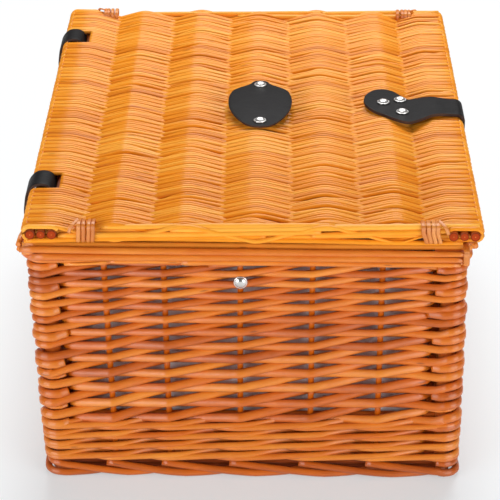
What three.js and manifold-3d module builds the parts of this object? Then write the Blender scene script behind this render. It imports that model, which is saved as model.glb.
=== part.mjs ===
// Wicker picnic basket with a hinged lid, leather straps, a turn lock and a fabric lining.
// Millimetres. +X runs along the length, -Y is the front, +Z is up, and the ground is z = 0.

import * as THREE from "three";
import { mergeVertices } from "three/addons/utils/BufferGeometryUtils.js";
import Module from "manifold-3d";

const wasm = await Module();
wasm.setup();

// Driving dimensions of the lid and the basket.
const LID_LENGTH = 456;
const LID_WIDTH = 330;
const LID_THICKNESS = 15;
const LID_VALLEY_THICKNESS = 2.6;
const LID_EDGE_SHARE = 0.72;
const LID_EDGE_WIDTH = 3;
const LID_GAP = 0.6;
const BASKET_HEIGHT = 200.5;
const WALL_THICKNESS = 16;
const WALL_INSET = 8;
const WALL_TAPER = 1;
const RIM_HEIGHT = 12;
const RIM_DEPTH = 20;
const RIM_INSET = 1;
const FOOT_HEIGHT = 12;
const FOOT_DEPTH = 17;
const FOOT_PROUD = 1.5;
const UPSET_HEIGHT = 37;
const UPSET_PROUD = 1.2;
const FLOOR_THICKNESS = 10;

// Rods, sticks and weave rows.
const WEAVE_RELIEF = 1.3;
const WALL_ROWS = 14;
const UPSET_ROWS = 6;
const WALL_OPENING_HEIGHT = 3.4;
const WALL_OPENING_MARGIN = 9;
const LID_ROWS = 18;
const FLOOR_ROWS = 34;
const END_STAKES = 5;
const END_STAKE_PITCH = 49;
const END_STAKE_SHIFT = -8.7;
const SIDE_STAKES = 8;
const STAKE_DIAMETER = 4.6;
const CORNER_POST_DIAMETER = 18.4;
const LID_RIBS = 5;
const LID_RIB_PITCH = 51;
const LID_RIB_SHIFT = -2.6;
const LID_RIB_DIAMETER = 7.2;
const SIDE_STICK_DIAMETER = 7.2;
const MIDDLE_STICK_DIAMETER = 6.6;
const SIDE_STICK_PITCH = 7.8;
const SIDE_STICK_EDGE = 4.8;
const STICK_STANDOUT = 11;
const FLOOR_STICKS = 3;
const FLOOR_STICK_DIAMETER = 5.6;
const LID_BORDER_HEIGHT = 12;
const LID_BORDER_RISE = 0.6;
const LASHING_THICKNESS = 1.4;
const LASHING_LENGTH = 14;
const LASHING_FROM_STICKS = 13;

// Leather, metal and cloth.
const LEATHER_THICKNESS = 2.4;
const PATCH_LENGTH = 97;
const PATCH_WIDTH = 51;
const PATCH_SHIFT = -0.9;
const PATCH_SIDE = -4.4;
const PATCH_RIVET_SPACING = 76;
const STRAP_WIDTH = 32;
const STRAP_SHIFT = -7;
const STRAP_PAD_WIDTH = 58;
const STRAP_PAD_LEAN = 13;
const STRAP_REACH = 76.8;
const STRAP_BEND_RADIUS = 4;
const STRAP_CLEARANCE = 0.9;
const TAIL_LENGTH = 62;
const SLOT_LENGTH = 13;
const SLOT_WIDTH = 6;
const SLOT_FROM_END = 16;
const EYELET_RIM = 3;
const EYELET_THICKNESS = 0.8;
const LOCK_PLATE_WIDTH = 22;
const LOCK_PLATE_HEIGHT = 34;
const LOCK_PLATE_THICKNESS = 1.6;
const LOCK_POST_DIAMETER = 4.4;
const LOCK_POST_LENGTH = 3;
const BUTTON_LENGTH = 12;
const BUTTON_WIDTH = 5.2;
const BUTTON_HEIGHT = 3;
const HINGE_STRAP_WIDTH = 25;
const HINGE_PLACES = [-0.32, 0.3465];
const HINGE_BULGE = 2.8;
const HINGE_DROP = 44;
const HINGE_SLOT_WIDTH = 3.8;
const RIVET_DIAMETER = 10;
const SMALL_RIVET_DIAMETER = 6;
const RIVET_SHANK_DIAMETER = 3;
const RIVET_BITE = 2;
const END_RIVET_DROP = 33;
const LINING_THICKNESS = 1.6;
const LINING_BELOW_RIM = 4;

// Clearances between neighbouring pieces.
const GAP = 0.4;
const BORE_GAP = 0.3;
const SEAT_GAP = 0.2;

// Levels and half sizes that follow from the driving dimensions.
const wallBottom = FOOT_HEIGHT + GAP;
const wallTop = BASKET_HEIGHT - RIM_HEIGHT - GAP;
const lidBottom = BASKET_HEIGHT + LID_GAP;
const lidTop = lidBottom + LID_THICKNESS;
const lidMiddle = (lidBottom + lidTop) / 2;
const floorTop = wallBottom + FLOOR_THICKNESS;
const halfLength = LID_LENGTH / 2;
const halfWidth = LID_WIDTH / 2;

// Colours of the finishes, as the photo shows them.
const finishes = {
  lidWillow: { color: 0xe0a050, roughness: 0.55, metalness: 0 },
  wallWillow: { color: 0xc8702c, roughness: 0.55, metalness: 0 },
  stick: { color: 0x9c5228, roughness: 0.6, metalness: 0 },
  splitWillow: { color: 0xc48a48, roughness: 0.6, metalness: 0 },
  leather: { color: 0x242325, roughness: 0.6, metalness: 0 },
  nickel: { color: 0xc9c8c6, roughness: 0.2, metalness: 1 },
  lining: { color: 0x8a7f80, roughness: 0.95, metalness: 0 },
};

const basket = new THREE.Group();

// Adds one named piece with its finish to the basket, or to a wall's own group.
function addPiece(name, geometry, finish, parent = basket) {
  const mesh = new THREE.Mesh(geometry, new THREE.MeshStandardMaterial(finishes[finish]));
  mesh.name = name;
  parent.add(mesh);
}

// Turns a closed geometry into a solid for joining and cutting.
function solidOf(geometry) {
  const bare = geometry.clone();
  bare.deleteAttribute("normal");
  bare.deleteAttribute("uv");
  const merged = mergeVertices(bare);
  const vertProperties = new Float32Array(merged.attributes.position.array);
  const triVerts = new Uint32Array(merged.index.array);
  return new wasm.Manifold(new wasm.Mesh({ numProp: 3, vertProperties, triVerts }));
}

// Turns a solid back into a geometry.
function geometryOf(solid) {
  const mesh = solid.getMesh();
  const geometry = new THREE.BufferGeometry();
  geometry.setAttribute("position", new THREE.BufferAttribute(mesh.vertProperties, 3));
  geometry.setIndex(new THREE.BufferAttribute(mesh.triVerts, 1));
  return geometry;
}

// Joins overlapping geometries into one piece.
function join(geometries) {
  const solids = geometries.map(solidOf);
  return geometryOf(solids.reduce((whole, next) => whole.add(next)));
}

// Cuts every tool out of a geometry.
function cut(geometry, tools) {
  const solids = tools.map(solidOf);
  return geometryOf(solids.reduce((left, tool) => left.subtract(tool), solidOf(geometry)));
}

// A straight round rod between two points.
function rod(from, to, diameter, sides = 8) {
  const along = new THREE.Vector3().subVectors(to, from);
  const geometry = new THREE.CylinderGeometry(diameter / 2, diameter / 2, along.length(), sides);
  const turn = new THREE.Quaternion();
  turn.setFromUnitVectors(new THREE.Vector3(0, 1, 0), along.clone().normalize());
  geometry.applyQuaternion(turn);
  const middle = new THREE.Vector3().addVectors(from, to).multiplyScalar(0.5);
  return geometry.translate(middle.x, middle.y, middle.z);
}

// A box given by its low and high corners.
function block(low, high) {
  const size = new THREE.Vector3().subVectors(high, low);
  const middle = new THREE.Vector3().addVectors(low, high).multiplyScalar(0.5);
  return new THREE.BoxGeometry(size.x, size.y, size.z).translate(middle.x, middle.y, middle.z);
}

// Sweeps a closed outline through stations; each station places an outline point in space.
function loft(outline, stations) {
  const contour = THREE.ShapeUtils.isClockWise(outline) ? [...outline].reverse() : outline;
  const count = contour.length;
  const points = stations.flatMap((station) => contour.map(station));
  const triangles = [];
  for (let s = 0; s + 1 < stations.length; s += 1) {
    for (let i = 0; i < count; i += 1) {
      const a = s * count + i;
      const b = s * count + ((i + 1) % count);
      triangles.push([a, b, b + count], [a, b + count, a + count]);
    }
  }
  const last = (stations.length - 1) * count;
  for (const trio of THREE.ShapeUtils.triangulateShape(contour, [])) {
    const reversed = THREE.ShapeUtils.isClockWise(trio.map((i) => contour[i]));
    const [a, b, c] = reversed ? [...trio].reverse() : trio;
    triangles.push([a, c, b], [last + a, last + b, last + c]);
  }
  const sixfold = ([a, b, c]) => points[a].dot(points[b].clone().cross(points[c]));
  const volume = triangles.reduce((sum, trio) => sum + sixfold(trio), 0);
  const outward = volume > 0 ? triangles : triangles.map(([a, b, c]) => [a, c, b]);
  const geometry = new THREE.BufferGeometry().setFromPoints(points);
  geometry.setIndex(outward.flat());
  return geometry;
}

// Outline of a woven panel: rows along the first axis, scalloped on both faces.
function wovenOutline(breaks, halfThicknessOf) {
  const face = [];
  for (let row = 0; row + 1 < breaks.length; row += 1) {
    const start = breaks[row];
    const pitch = breaks[row + 1] - start;
    const crest = halfThicknessOf(row);
    face.push(new THREE.Vector2(start, crest - WEAVE_RELIEF));
    face.push(new THREE.Vector2(start + pitch * 0.25, crest));
    face.push(new THREE.Vector2(start + pitch * 0.75, crest));
  }
  const end = breaks[breaks.length - 1];
  face.push(new THREE.Vector2(end, halfThicknessOf(breaks.length - 2) - WEAVE_RELIEF));
  const back = face.map((point) => new THREE.Vector2(point.x, -point.y)).reverse();
  return [...face, ...back];
}

// Row boundaries that share a length evenly.
function evenBreaks(start, end, rows) {
  return Array.from({ length: rows + 1 }, (_, i) => start + ((end - start) * i) / rows);
}

// Places at an even pitch, centred on a shift from the middle.
function evenPlaces(pitch, count, shift = 0) {
  return Array.from({ length: count }, (_, i) => shift + pitch * (i - (count - 1) / 2));
}

// Distance that a wall has leaned in at a height, counted from its top.
function leanAt(z) {
  return (WALL_TAPER * (wallTop - z)) / (wallTop - wallBottom);
}

// Distance of a wall's middle plane from the centre, for a wall at half the lid's size.
function wallPlane(half, z) {
  return half - WALL_INSET - WALL_THICKNESS / 2 - leanAt(z);
}

// A domed rivet: its head sits on a surface and its shank goes in along the normal.
function rivet(place, normal, diameter, shankLength) {
  const head = diameter / 2;
  const shank = RIVET_SHANK_DIAMETER / 2;
  const profile = [
    new THREE.Vector2(0, -shankLength),
    new THREE.Vector2(shank, -shankLength),
    new THREE.Vector2(shank, 0),
    new THREE.Vector2(head, 0),
    new THREE.Vector2(head * 0.92, head * 0.26),
    new THREE.Vector2(head * 0.6, head * 0.5),
    new THREE.Vector2(0, head * 0.6),
  ];
  const geometry = new THREE.LatheGeometry(profile, 12);
  geometry.applyQuaternion(new THREE.Quaternion().setFromUnitVectors(new THREE.Vector3(0, 1, 0), normal));
  return geometry.translate(place.x, place.y, place.z);
}

// The hole that a rivet's shank needs below a surface.
function rivetHole(place, normal, depth) {
  const from = place.clone().addScaledVector(normal, GAP);
  const to = place.clone().addScaledVector(normal, -depth - BORE_GAP);
  return rod(from, to, RIVET_SHANK_DIAMETER + 2 * BORE_GAP, 12);
}

// A leather outline: points hold a place along the length, a half width and a lean to one side.
function leatherOutline(points) {
  const edge = (hand) => {
    const places = points.map(([along, half, lean = 0]) => new THREE.Vector2(along, lean + hand * half));
    return new THREE.SplineCurve(places).getPoints(points.length * 3);
  };
  const upper = edge(1);
  const lower = edge(-1).reverse();
  const apart = (point) => upper.every((other) => other.distanceTo(point) > GAP / 4);
  return [...upper, ...lower.filter(apart)];
}

// The four walls: each name goes with its turn about the vertical and its run.
const walls = [
  { side: "near_end", yaw: -Math.PI / 2, outward: halfLength, along: halfWidth, isEnd: true },
  { side: "far_end", yaw: Math.PI / 2, outward: halfLength, along: halfWidth, isEnd: true },
  { side: "front", yaw: 0, outward: halfWidth, along: halfLength, isEnd: false },
  { side: "back", yaw: Math.PI, outward: halfWidth, along: halfLength, isEnd: false },
];

const up = new THREE.Vector3(0, 0, 1);
const frontward = new THREE.Vector3(0, -1, 0);
const backward = new THREE.Vector3(0, 1, 0);

// Outer face of a wall's weave at a height, in the wall's own frame.
function wallFace(wall, z) {
  return -(wallPlane(wall.outward, z) + WALL_THICKNESS / 2);
}

// Where the closing strap hangs in front of the basket.
const bendCentreY = -(halfWidth + STRAP_CLEARANCE - STRAP_BEND_RADIUS);
const bendCentreZ = lidTop + SEAT_GAP - STRAP_BEND_RADIUS;
const tailInnerY = bendCentreY - STRAP_BEND_RADIUS;
const tailOuterY = tailInnerY - LEATHER_THICKNESS;
const tailAxisY = tailInnerY - LEATHER_THICKNESS / 2;
const tailAxisZ = bendCentreZ - GAP - LEATHER_THICKNESS / 2;
const tailEnd = tailAxisZ - TAIL_LENGTH;
const lockHeight = tailEnd + SLOT_FROM_END;

// Places of the rivets that go into the walls, in each wall's own frame.
const endRivetHeight = BASKET_HEIGHT - END_RIVET_DROP;
const hingeRivetHeight = BASKET_HEIGHT - HINGE_DROP + SMALL_RIVET_DIAMETER;
const hingeMiddles = HINGE_PLACES.map((share) => share * LID_LENGTH);
const lockRivetRise = LOCK_PLATE_HEIGHT / 2 - SMALL_RIVET_DIAMETER;

function wallRivetPlaces(wall) {
  if (wall.isEnd) {
    return [new THREE.Vector3(END_STAKE_SHIFT, wallFace(wall, endRivetHeight), endRivetHeight)];
  }
  if (wall.side === "back") {
    return hingeMiddles.map((x) => new THREE.Vector3(-x, wallFace(wall, hingeRivetHeight), hingeRivetHeight));
  }
  const heights = [lockHeight - lockRivetRise, lockHeight + lockRivetRise];
  return heights.map((z) => new THREE.Vector3(STRAP_SHIFT, wallFace(wall, z), z));
}

// Woven wall panel, with the tighter band at its foot, bored for the stakes.
function wallPanel(wall, stakePlaces) {
  const upsetTop = wallBottom + UPSET_HEIGHT;
  const upset = evenBreaks(wallBottom, upsetTop, UPSET_ROWS);
  const randing = evenBreaks(upsetTop, wallTop, WALL_ROWS).slice(1);
  const halfThicknessOf = (row) => WALL_THICKNESS / 2 + (row < UPSET_ROWS ? UPSET_PROUD : 0);
  const outline = wovenOutline([...upset, ...randing], halfThicknessOf);
  const clearOfPost = Math.max(CORNER_POST_DIAMETER / 2, WALL_THICKNESS / 2 + UPSET_PROUD) + GAP;
  const endOf = (z) => wallPlane(wall.along, z) - clearOfPost;
  const station = (sign) => (point) =>
    new THREE.Vector3(sign * endOf(point.x), -wallPlane(wall.outward, point.x) - point.y, point.x);
  const panel = loft(outline, [station(-1), station(1)]);
  const bores = stakePlaces.map((u) => stake(wall, u, wallBottom - 1, wallTop + 1, 2 * BORE_GAP));
  const rivets = wallRivetPlaces(wall);
  const holes = rivets.map((place) => rivetHole(place, frontward, RIVET_BITE));
  const valleys = randing.filter((_, row) => row % 2 === 1 && row + 1 < WALL_ROWS);
  return cut(panel, [...bores, ...holes, ...wallOpenings(wall, stakePlaces, valleys, rivets)]);
}

// Gaps between pairs of rows, one in each bay between two stakes, left out where a rivet goes in.
function wallOpenings(wall, stakePlaces, levels, rivets) {
  const half = WALL_OPENING_HEIGHT / 2;
  const bays = stakePlaces.slice(1).map((u, i) => [stakePlaces[i] + WALL_OPENING_MARGIN, u - WALL_OPENING_MARGIN]);
  const spots = levels.flatMap((z) => bays.map(([from, to]) => ({ z, from, to })));
  const clear = (spot) =>
    rivets.every((place) => {
      const beside = place.x < spot.from - RIVET_DIAMETER || place.x > spot.to + RIVET_DIAMETER;
      return beside || Math.abs(place.z - spot.z) > RIVET_DIAMETER;
    });
  return spots.filter(clear).map(({ z, from, to }) => {
    const low = new THREE.Vector3(from, -wall.outward, z - half);
    return block(low, new THREE.Vector3(to, WALL_THICKNESS - wallPlane(wall.outward, z), z + half));
  });
}

// One upright stake in the middle plane of its wall.
function stake(wall, u, low, high, oversize = 0) {
  const from = new THREE.Vector3(u, -wallPlane(wall.outward, low), low);
  const to = new THREE.Vector3(u, -wallPlane(wall.outward, high), high);
  return rod(from, to, STAKE_DIAMETER + oversize);
}

// A straight bundle of border rods: rounded bumps outside, flat below.
function rodBundle(outerY, depth, low, high, halfRun, rods) {
  const bump = (high - low) / rods;
  const outline = [new THREE.Vector2(outerY + depth, low)];
  outline.push(new THREE.Vector2(outerY + depth, high - WEAVE_RELIEF));
  outline.push(new THREE.Vector2(outerY + depth - WEAVE_RELIEF, high));
  for (let i = rods - 1; i >= 0; i -= 1) {
    const base = low + i * bump;
    const topInset = i === rods - 1 ? bump * 0.45 : WEAVE_RELIEF;
    outline.push(new THREE.Vector2(outerY + topInset, base + bump));
    outline.push(new THREE.Vector2(outerY, base + bump * 0.7));
    outline.push(new THREE.Vector2(outerY, base + bump * 0.3));
  }
  outline.push(new THREE.Vector2(outerY + WEAVE_RELIEF, low));
  const station = (u) => (point) => new THREE.Vector3(u, point.x, point.y);
  return loft(outline, [station(halfRun), station(-halfRun)]);
}

for (const wall of walls) {
  const frame = new THREE.Group();
  frame.rotation.z = wall.yaw;
  basket.add(frame);

  const stakePlaces = wall.isEnd
    ? evenPlaces(END_STAKE_PITCH, END_STAKES, END_STAKE_SHIFT)
    : evenPlaces((2 * wallPlane(wall.along, wallTop)) / (SIDE_STAKES + 1), SIDE_STAKES);
  addPiece(`wall_weave_${wall.side}`, wallPanel(wall, stakePlaces), "wallWillow", frame);

  // The end rims and feet run the full width; the side ones butt between them.
  const rimOuter = -(wall.outward - RIM_INSET);
  const rimRun = wall.along - RIM_INSET - (wall.isEnd ? 0 : RIM_DEPTH + GAP);
  const rim = rodBundle(rimOuter, RIM_DEPTH, wallTop + GAP, BASKET_HEIGHT, rimRun, 2);
  const stakes = stakePlaces.map((u) => stake(wall, u, wallBottom + 1, wallTop + RIM_HEIGHT / 2));
  addPiece(`rim_and_stakes_${wall.side}`, join([rim, ...stakes]), "stick", frame);

  const footOuter = wallFace(wall, wallBottom) - FOOT_PROUD;
  const footReach = -wallFace({ outward: wall.along }, wallBottom) + FOOT_PROUD;
  const footRun = footReach - (wall.isEnd ? 0 : FOOT_DEPTH + GAP);
  addPiece(`foot_${wall.side}`, rodBundle(footOuter, FOOT_DEPTH, 0, FOOT_HEIGHT, footRun, 2), "stick", frame);
}

// Corner posts, leaning with the walls that meet at them.
const corners = [
  { name: "near_front", x: -1, y: -1 },
  { name: "near_back", x: -1, y: 1 },
  { name: "far_front", x: 1, y: -1 },
  { name: "far_back", x: 1, y: 1 },
];

for (const corner of corners) {
  const place = (z) =>
    new THREE.Vector3(corner.x * wallPlane(halfLength, z), corner.y * wallPlane(halfWidth, z), z);
  const post = rod(place(wallBottom), place(wallTop), CORNER_POST_DIAMETER, 16);
  addPiece(`corner_post_${corner.name}`, post, "stick");
}

// Woven floor on lengthwise sticks, inside the foot of the walls.
const innerHalf = (half, z) => wallPlane(half, z) - WALL_THICKNESS / 2 - UPSET_PROUD - GAP;
const floorHalfLength = innerHalf(halfLength, wallBottom);
const floorHalfWidth = innerHalf(halfWidth, wallBottom);
const floorMiddle = wallBottom + FLOOR_THICKNESS / 2;
const floorOutline = wovenOutline(
  evenBreaks(-floorHalfLength, floorHalfLength, FLOOR_ROWS),
  () => FLOOR_THICKNESS / 2,
);
const floorStation = (y) => (point) => new THREE.Vector3(point.x, y, floorMiddle + point.y);
const floorPanel = loft(floorOutline, [floorStation(floorHalfWidth), floorStation(-floorHalfWidth)]);

// A lengthwise stick at a place across the width.
function lengthwise(y, z, half, diameter) {
  return rod(new THREE.Vector3(-half, y, z), new THREE.Vector3(half, y, z), diameter, 10);
}

const floorPlaces = evenPlaces((2 * floorHalfWidth) / (FLOOR_STICKS + 1), FLOOR_STICKS);
const floorBore = FLOOR_STICK_DIAMETER + 2 * BORE_GAP;
const floorBores = floorPlaces.map((y) => lengthwise(y, floorMiddle, halfLength, floorBore));
addPiece("floor_weave", cut(floorPanel, floorBores), "wallWillow");
floorPlaces.forEach((y, i) => {
  const floorStick = lengthwise(y, floorMiddle, floorHalfLength - GAP, FLOOR_STICK_DIAMETER);
  addPiece(`floor_stick_${i + 1}`, floorStick, "stick");
});

// Fabric lining: a thin open tray inside the walls.
function taperedBox(inset, low, high) {
  const outline = [-1, 1].flatMap((x) => [-x, x].map((y) => new THREE.Vector2(x, y)));
  const station = (z) => (point) => {
    const x = point.x * (innerHalf(halfLength, z) + UPSET_PROUD - inset);
    const y = point.y * (innerHalf(halfWidth, z) + UPSET_PROUD - inset);
    return new THREE.Vector3(x, y, z);
  };
  return loft(outline, [station(low), station(high)]);
}

const liningBottom = floorTop + GAP;
const liningTop = BASKET_HEIGHT - LINING_BELOW_RIM;
const liningOuter = taperedBox(UPSET_PROUD, liningBottom, liningTop);
const liningFloor = liningBottom + LINING_THICKNESS;
const liningInner = taperedBox(UPSET_PROUD + LINING_THICKNESS, liningFloor, liningTop + 1);
addPiece("lining", cut(liningOuter, [liningInner]), "lining");

// Side sticks and ribs of the lid, given by their places across the width.
const sideSticks = [];
for (const [side, sign] of [["front", -1], ["back", 1]]) {
  for (let i = 0; i < 3; i += 1) {
    const diameter = i === 1 ? MIDDLE_STICK_DIAMETER : SIDE_STICK_DIAMETER;
    const y = sign * (halfWidth - SIDE_STICK_EDGE - i * SIDE_STICK_PITCH);
    sideSticks.push({ name: `lid_side_stick_${side}_${i + 1}`, y, diameter });
  }
}
const ribPlaces = evenPlaces(LID_RIB_PITCH, LID_RIBS, LID_RIB_SHIFT);
const bundleWidth = SIDE_STICK_EDGE + 2 * SIDE_STICK_PITCH + SIDE_STICK_DIAMETER / 2 + BORE_GAP;

// Rivets on the lid: two on the patch and three on the closing strap's pad.
const leatherBottom = lidTop + SEAT_GAP;
const leatherTop = leatherBottom + LEATHER_THICKNESS;
const rivetSeat = leatherTop + SEAT_GAP;
const patchRivetPlaces = [-1, 1].map(
  (end) => new THREE.Vector3(PATCH_SHIFT + (end * PATCH_RIVET_SPACING) / 2, PATCH_SIDE, rivetSeat),
);
const onPad = (share, across) =>
  new THREE.Vector3(STRAP_SHIFT + across * STRAP_PAD_WIDTH, share * STRAP_REACH - halfWidth, rivetSeat);
const padRivetPlaces = [onPad(0.796, 0.131), onPad(0.618, 0.217), onPad(0.611, -0.216)];
const lidRivetPlaces = [...patchRivetPlaces, ...padRivetPlaces];
const lidRivetShank = rivetSeat - lidTop + RIVET_BITE;
const lidRivetHoles = lidRivetPlaces.map((place) => rivetHole(place, up, lidRivetShank));

// Woven lid: thick where the rods cross a rib or the side sticks, thin where they cross each other between.
const weaveHalfLength = halfLength - STICK_STANDOUT;

function lidPanel() {
  const breaks = evenBreaks(-weaveHalfLength, weaveHalfLength, LID_ROWS);
  const outline = wovenOutline(breaks, () => LID_THICKNESS / 2);
  const station = (y, share) => (point) => new THREE.Vector3(point.x, y, lidMiddle + share * point.y);
  const inner = halfWidth - bundleWidth;
  const crests = [-inner, ...ribPlaces, inner];
  const valley = LID_VALLEY_THICKNESS / LID_THICKNESS;
  const waves = crests.slice(1).flatMap((y, i) => [station((crests[i] + y) / 2, valley), station(y, 1)]);
  return loft(outline, [
    station(-halfWidth, LID_EDGE_SHARE),
    station(LID_EDGE_WIDTH - halfWidth, 1),
    station(-inner, 1),
    ...waves,
    station(halfWidth - LID_EDGE_WIDTH, 1),
    station(halfWidth, LID_EDGE_SHARE),
  ]);
}

const stickBores = sideSticks.map((stick) =>
  lengthwise(stick.y, lidMiddle, halfLength, stick.diameter + 2 * BORE_GAP),
);
const ribBores = ribPlaces.map((y) => lengthwise(y, lidMiddle, halfLength, LID_RIB_DIAMETER + 2 * BORE_GAP));

// Slots for the hinge straps, between the second and the third stick of the back edge.
const hingeSlotY = halfWidth - SIDE_STICK_EDGE - 1.5 * SIDE_STICK_PITCH - HINGE_SLOT_WIDTH / 2;
const hingeSlots = hingeMiddles.map((x) => {
  const half = HINGE_STRAP_WIDTH / 2 + BORE_GAP;
  const low = new THREE.Vector3(x - half, hingeSlotY, lidBottom - 1);
  return block(low, new THREE.Vector3(x + half, hingeSlotY + HINGE_SLOT_WIDTH, lidTop + 1));
});

const lidCuts = [...stickBores, ...ribBores, ...hingeSlots, ...lidRivetHoles];
addPiece("lid_weave", cut(lidPanel(), lidCuts), "lidWillow");
for (const stick of sideSticks) {
  const whole = lengthwise(stick.y, lidMiddle, halfLength, stick.diameter);
  const reach = (stick.diameter + HINGE_SLOT_WIDTH) / 2;
  const atSlot = Math.abs(stick.y - hingeSlotY - HINGE_SLOT_WIDTH / 2) < reach;
  addPiece(stick.name, atSlot ? cut(whole, hingeSlots) : whole, "stick");
}
ribPlaces.forEach((y, i) => {
  addPiece(`lid_rib_${i + 1}`, lengthwise(y, lidMiddle, weaveHalfLength, LID_RIB_DIAMETER), "stick");
});

// Straight border rods across both ends of the lid, and the lashings that hold them.
const borderBottom = lidMiddle - LID_BORDER_HEIGHT / 2 + LID_BORDER_RISE;
const borderDepth = STICK_STANDOUT - LASHING_THICKNESS - 2 * GAP - LASHING_THICKNESS;
const borderRun = halfWidth - bundleWidth - GAP;
const borderOuter = halfLength - LASHING_THICKNESS - GAP / 2;

function lashingRing() {
  const half = borderDepth / 2;
  const ring = new THREE.Shape();
  const rectangle = (path, grow) => {
    path.moveTo(-half - grow, -grow);
    path.lineTo(half + grow, -grow);
    path.lineTo(half + grow, LID_BORDER_HEIGHT + grow);
    path.lineTo(-half - grow, LID_BORDER_HEIGHT + grow);
    path.closePath();
    return path;
  };
  rectangle(ring, GAP / 2 + LASHING_THICKNESS);
  ring.holes.push(rectangle(new THREE.Path(), GAP / 2));
  const geometry = new THREE.ExtrudeGeometry(ring, { depth: LASHING_LENGTH, bevelEnabled: false });
  return geometry.rotateX(Math.PI / 2);
}

for (const [end, sign] of [["near", -1], ["far", 1]]) {
  const borderTop = borderBottom + LID_BORDER_HEIGHT;
  const border = rodBundle(-borderOuter, borderDepth, borderBottom, borderTop, borderRun, 2);
  addPiece(`lid_border_${end}`, border.rotateZ((sign * Math.PI) / 2), "lidWillow");
  for (const [side, hand] of [["front", -1], ["back", 1]]) {
    const middle = hand * (borderRun - LASHING_FROM_STICKS) + LASHING_LENGTH / 2;
    const ring = lashingRing().translate(sign * (borderOuter - borderDepth / 2), middle, borderBottom);
    addPiece(`lid_lashing_${end}_${side}`, ring, "splitWillow");
  }
}

// A flat leather cut-out lying on the lid, with holes for its rivets.
function leatherFlat(points, rivetPlaces) {
  const shape = new THREE.Shape(points);
  const flat = new THREE.ExtrudeGeometry(shape, { depth: LEATHER_THICKNESS, bevelEnabled: false });
  flat.translate(0, 0, leatherBottom);
  return { flat, holes: rivetPlaces.map((place) => rivetHole(place, up, lidRivetShank)) };
}

// The lid's leather patch: a wide body that narrows to a lobe round each rivet.
const patchHalf = PATCH_LENGTH / 2;
const patchPoints = leatherOutline([
  [-patchHalf, 0],
  [-patchHalf * 0.95, PATCH_WIDTH * 0.18],
  [-patchHalf * 0.68, PATCH_WIDTH * 0.376],
  [-patchHalf * 0.32, PATCH_WIDTH * 0.474],
  [patchHalf * 0.12, PATCH_WIDTH * 0.5],
  [patchHalf * 0.57, PATCH_WIDTH * 0.4],
  [patchHalf * 0.75, PATCH_WIDTH * 0.23],
  [patchHalf * 0.92, PATCH_WIDTH * 0.13],
  [patchHalf, 0],
]).map((point) => new THREE.Vector2(point.x + PATCH_SHIFT, point.y + PATCH_SIDE));
const patch = leatherFlat(patchPoints, patchRivetPlaces);
addPiece("lid_patch", cut(patch.flat, patch.holes), "leather");

// The closing strap: a drop-shaped pad on the lid, a neck, and the bend over the front edge.
const padPoints = leatherOutline([
  [STRAP_REACH, 0, STRAP_PAD_LEAN],
  [STRAP_REACH * 0.97, STRAP_PAD_WIDTH * 0.22, STRAP_PAD_LEAN],
  [STRAP_REACH * 0.82, STRAP_PAD_WIDTH * 0.46, STRAP_PAD_LEAN * 0.8],
  [STRAP_REACH * 0.7, STRAP_PAD_WIDTH * 0.5, STRAP_PAD_LEAN * 0.2],
  [STRAP_REACH * 0.57, STRAP_PAD_WIDTH * 0.42, STRAP_PAD_LEAN * -0.45],
  [STRAP_REACH * 0.4, STRAP_WIDTH * 0.58],
  [STRAP_REACH * 0.2, STRAP_WIDTH * 0.5],
  [halfWidth + bendCentreY, STRAP_WIDTH * 0.5],
]).map((point) => new THREE.Vector2(STRAP_SHIFT + point.y, point.x - halfWidth));
const pad = leatherFlat(padPoints, padRivetPlaces);

function strapBend() {
  const outer = STRAP_BEND_RADIUS + LEATHER_THICKNESS;
  const shape = new THREE.Shape();
  shape.moveTo(bendCentreY + GAP, bendCentreZ + outer);
  shape.absarc(bendCentreY, bendCentreZ, outer, Math.PI / 2, Math.PI, false);
  shape.absarc(bendCentreY, bendCentreZ, STRAP_BEND_RADIUS, Math.PI, Math.PI / 2, true);
  shape.lineTo(bendCentreY + GAP, bendCentreZ + STRAP_BEND_RADIUS);
  return acrossStrip(shape, STRAP_SHIFT, STRAP_WIDTH);
}

// A side profile in Y and Z, given its width along X.
function acrossStrip(shape, middle, width) {
  const settings = { depth: width, bevelEnabled: false, curveSegments: 8 };
  const strip = new THREE.ExtrudeGeometry(shape, settings);
  const alongX = new THREE.Vector3(1, 0, 0);
  const turned = new THREE.Matrix4().makeBasis(backward, up, alongX);
  return strip.applyMatrix4(turned).translate(middle - width / 2, 0, 0);
}

addPiece("closing_strap", cut(join([pad.flat, strapBend()]), pad.holes), "leather");

// The strap's hanging tail turns at its upper end, and has a slot near its round lower end.
function slotPath(path, grow) {
  const straight = (SLOT_LENGTH - SLOT_WIDTH) / 2;
  const radius = SLOT_WIDTH / 2 + grow;
  path.absarc(STRAP_SHIFT + straight, lockHeight, radius, -Math.PI / 2, Math.PI / 2, false);
  path.absarc(STRAP_SHIFT - straight, lockHeight, radius, Math.PI / 2, (3 * Math.PI) / 2, false);
  path.closePath();
  return path;
}

// A plate in X and Z, given its thickness along Y from an inner face outwards.
function frontPlate(shape, innerY, thickness) {
  const plate = new THREE.ExtrudeGeometry(shape, { depth: thickness, bevelEnabled: false, curveSegments: 8 });
  return plate.rotateX(Math.PI / 2).translate(0, innerY, 0);
}

function tailShape() {
  const half = STRAP_WIDTH / 2;
  const shape = new THREE.Shape();
  shape.moveTo(STRAP_SHIFT + half, tailAxisZ);
  shape.lineTo(STRAP_SHIFT - half, tailAxisZ);
  shape.lineTo(STRAP_SHIFT - half, tailEnd + half);
  shape.absarc(STRAP_SHIFT, tailEnd + half, half, Math.PI, 2 * Math.PI, false);
  shape.closePath();
  shape.holes.push(slotPath(new THREE.Path(), 0));
  return shape;
}

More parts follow.
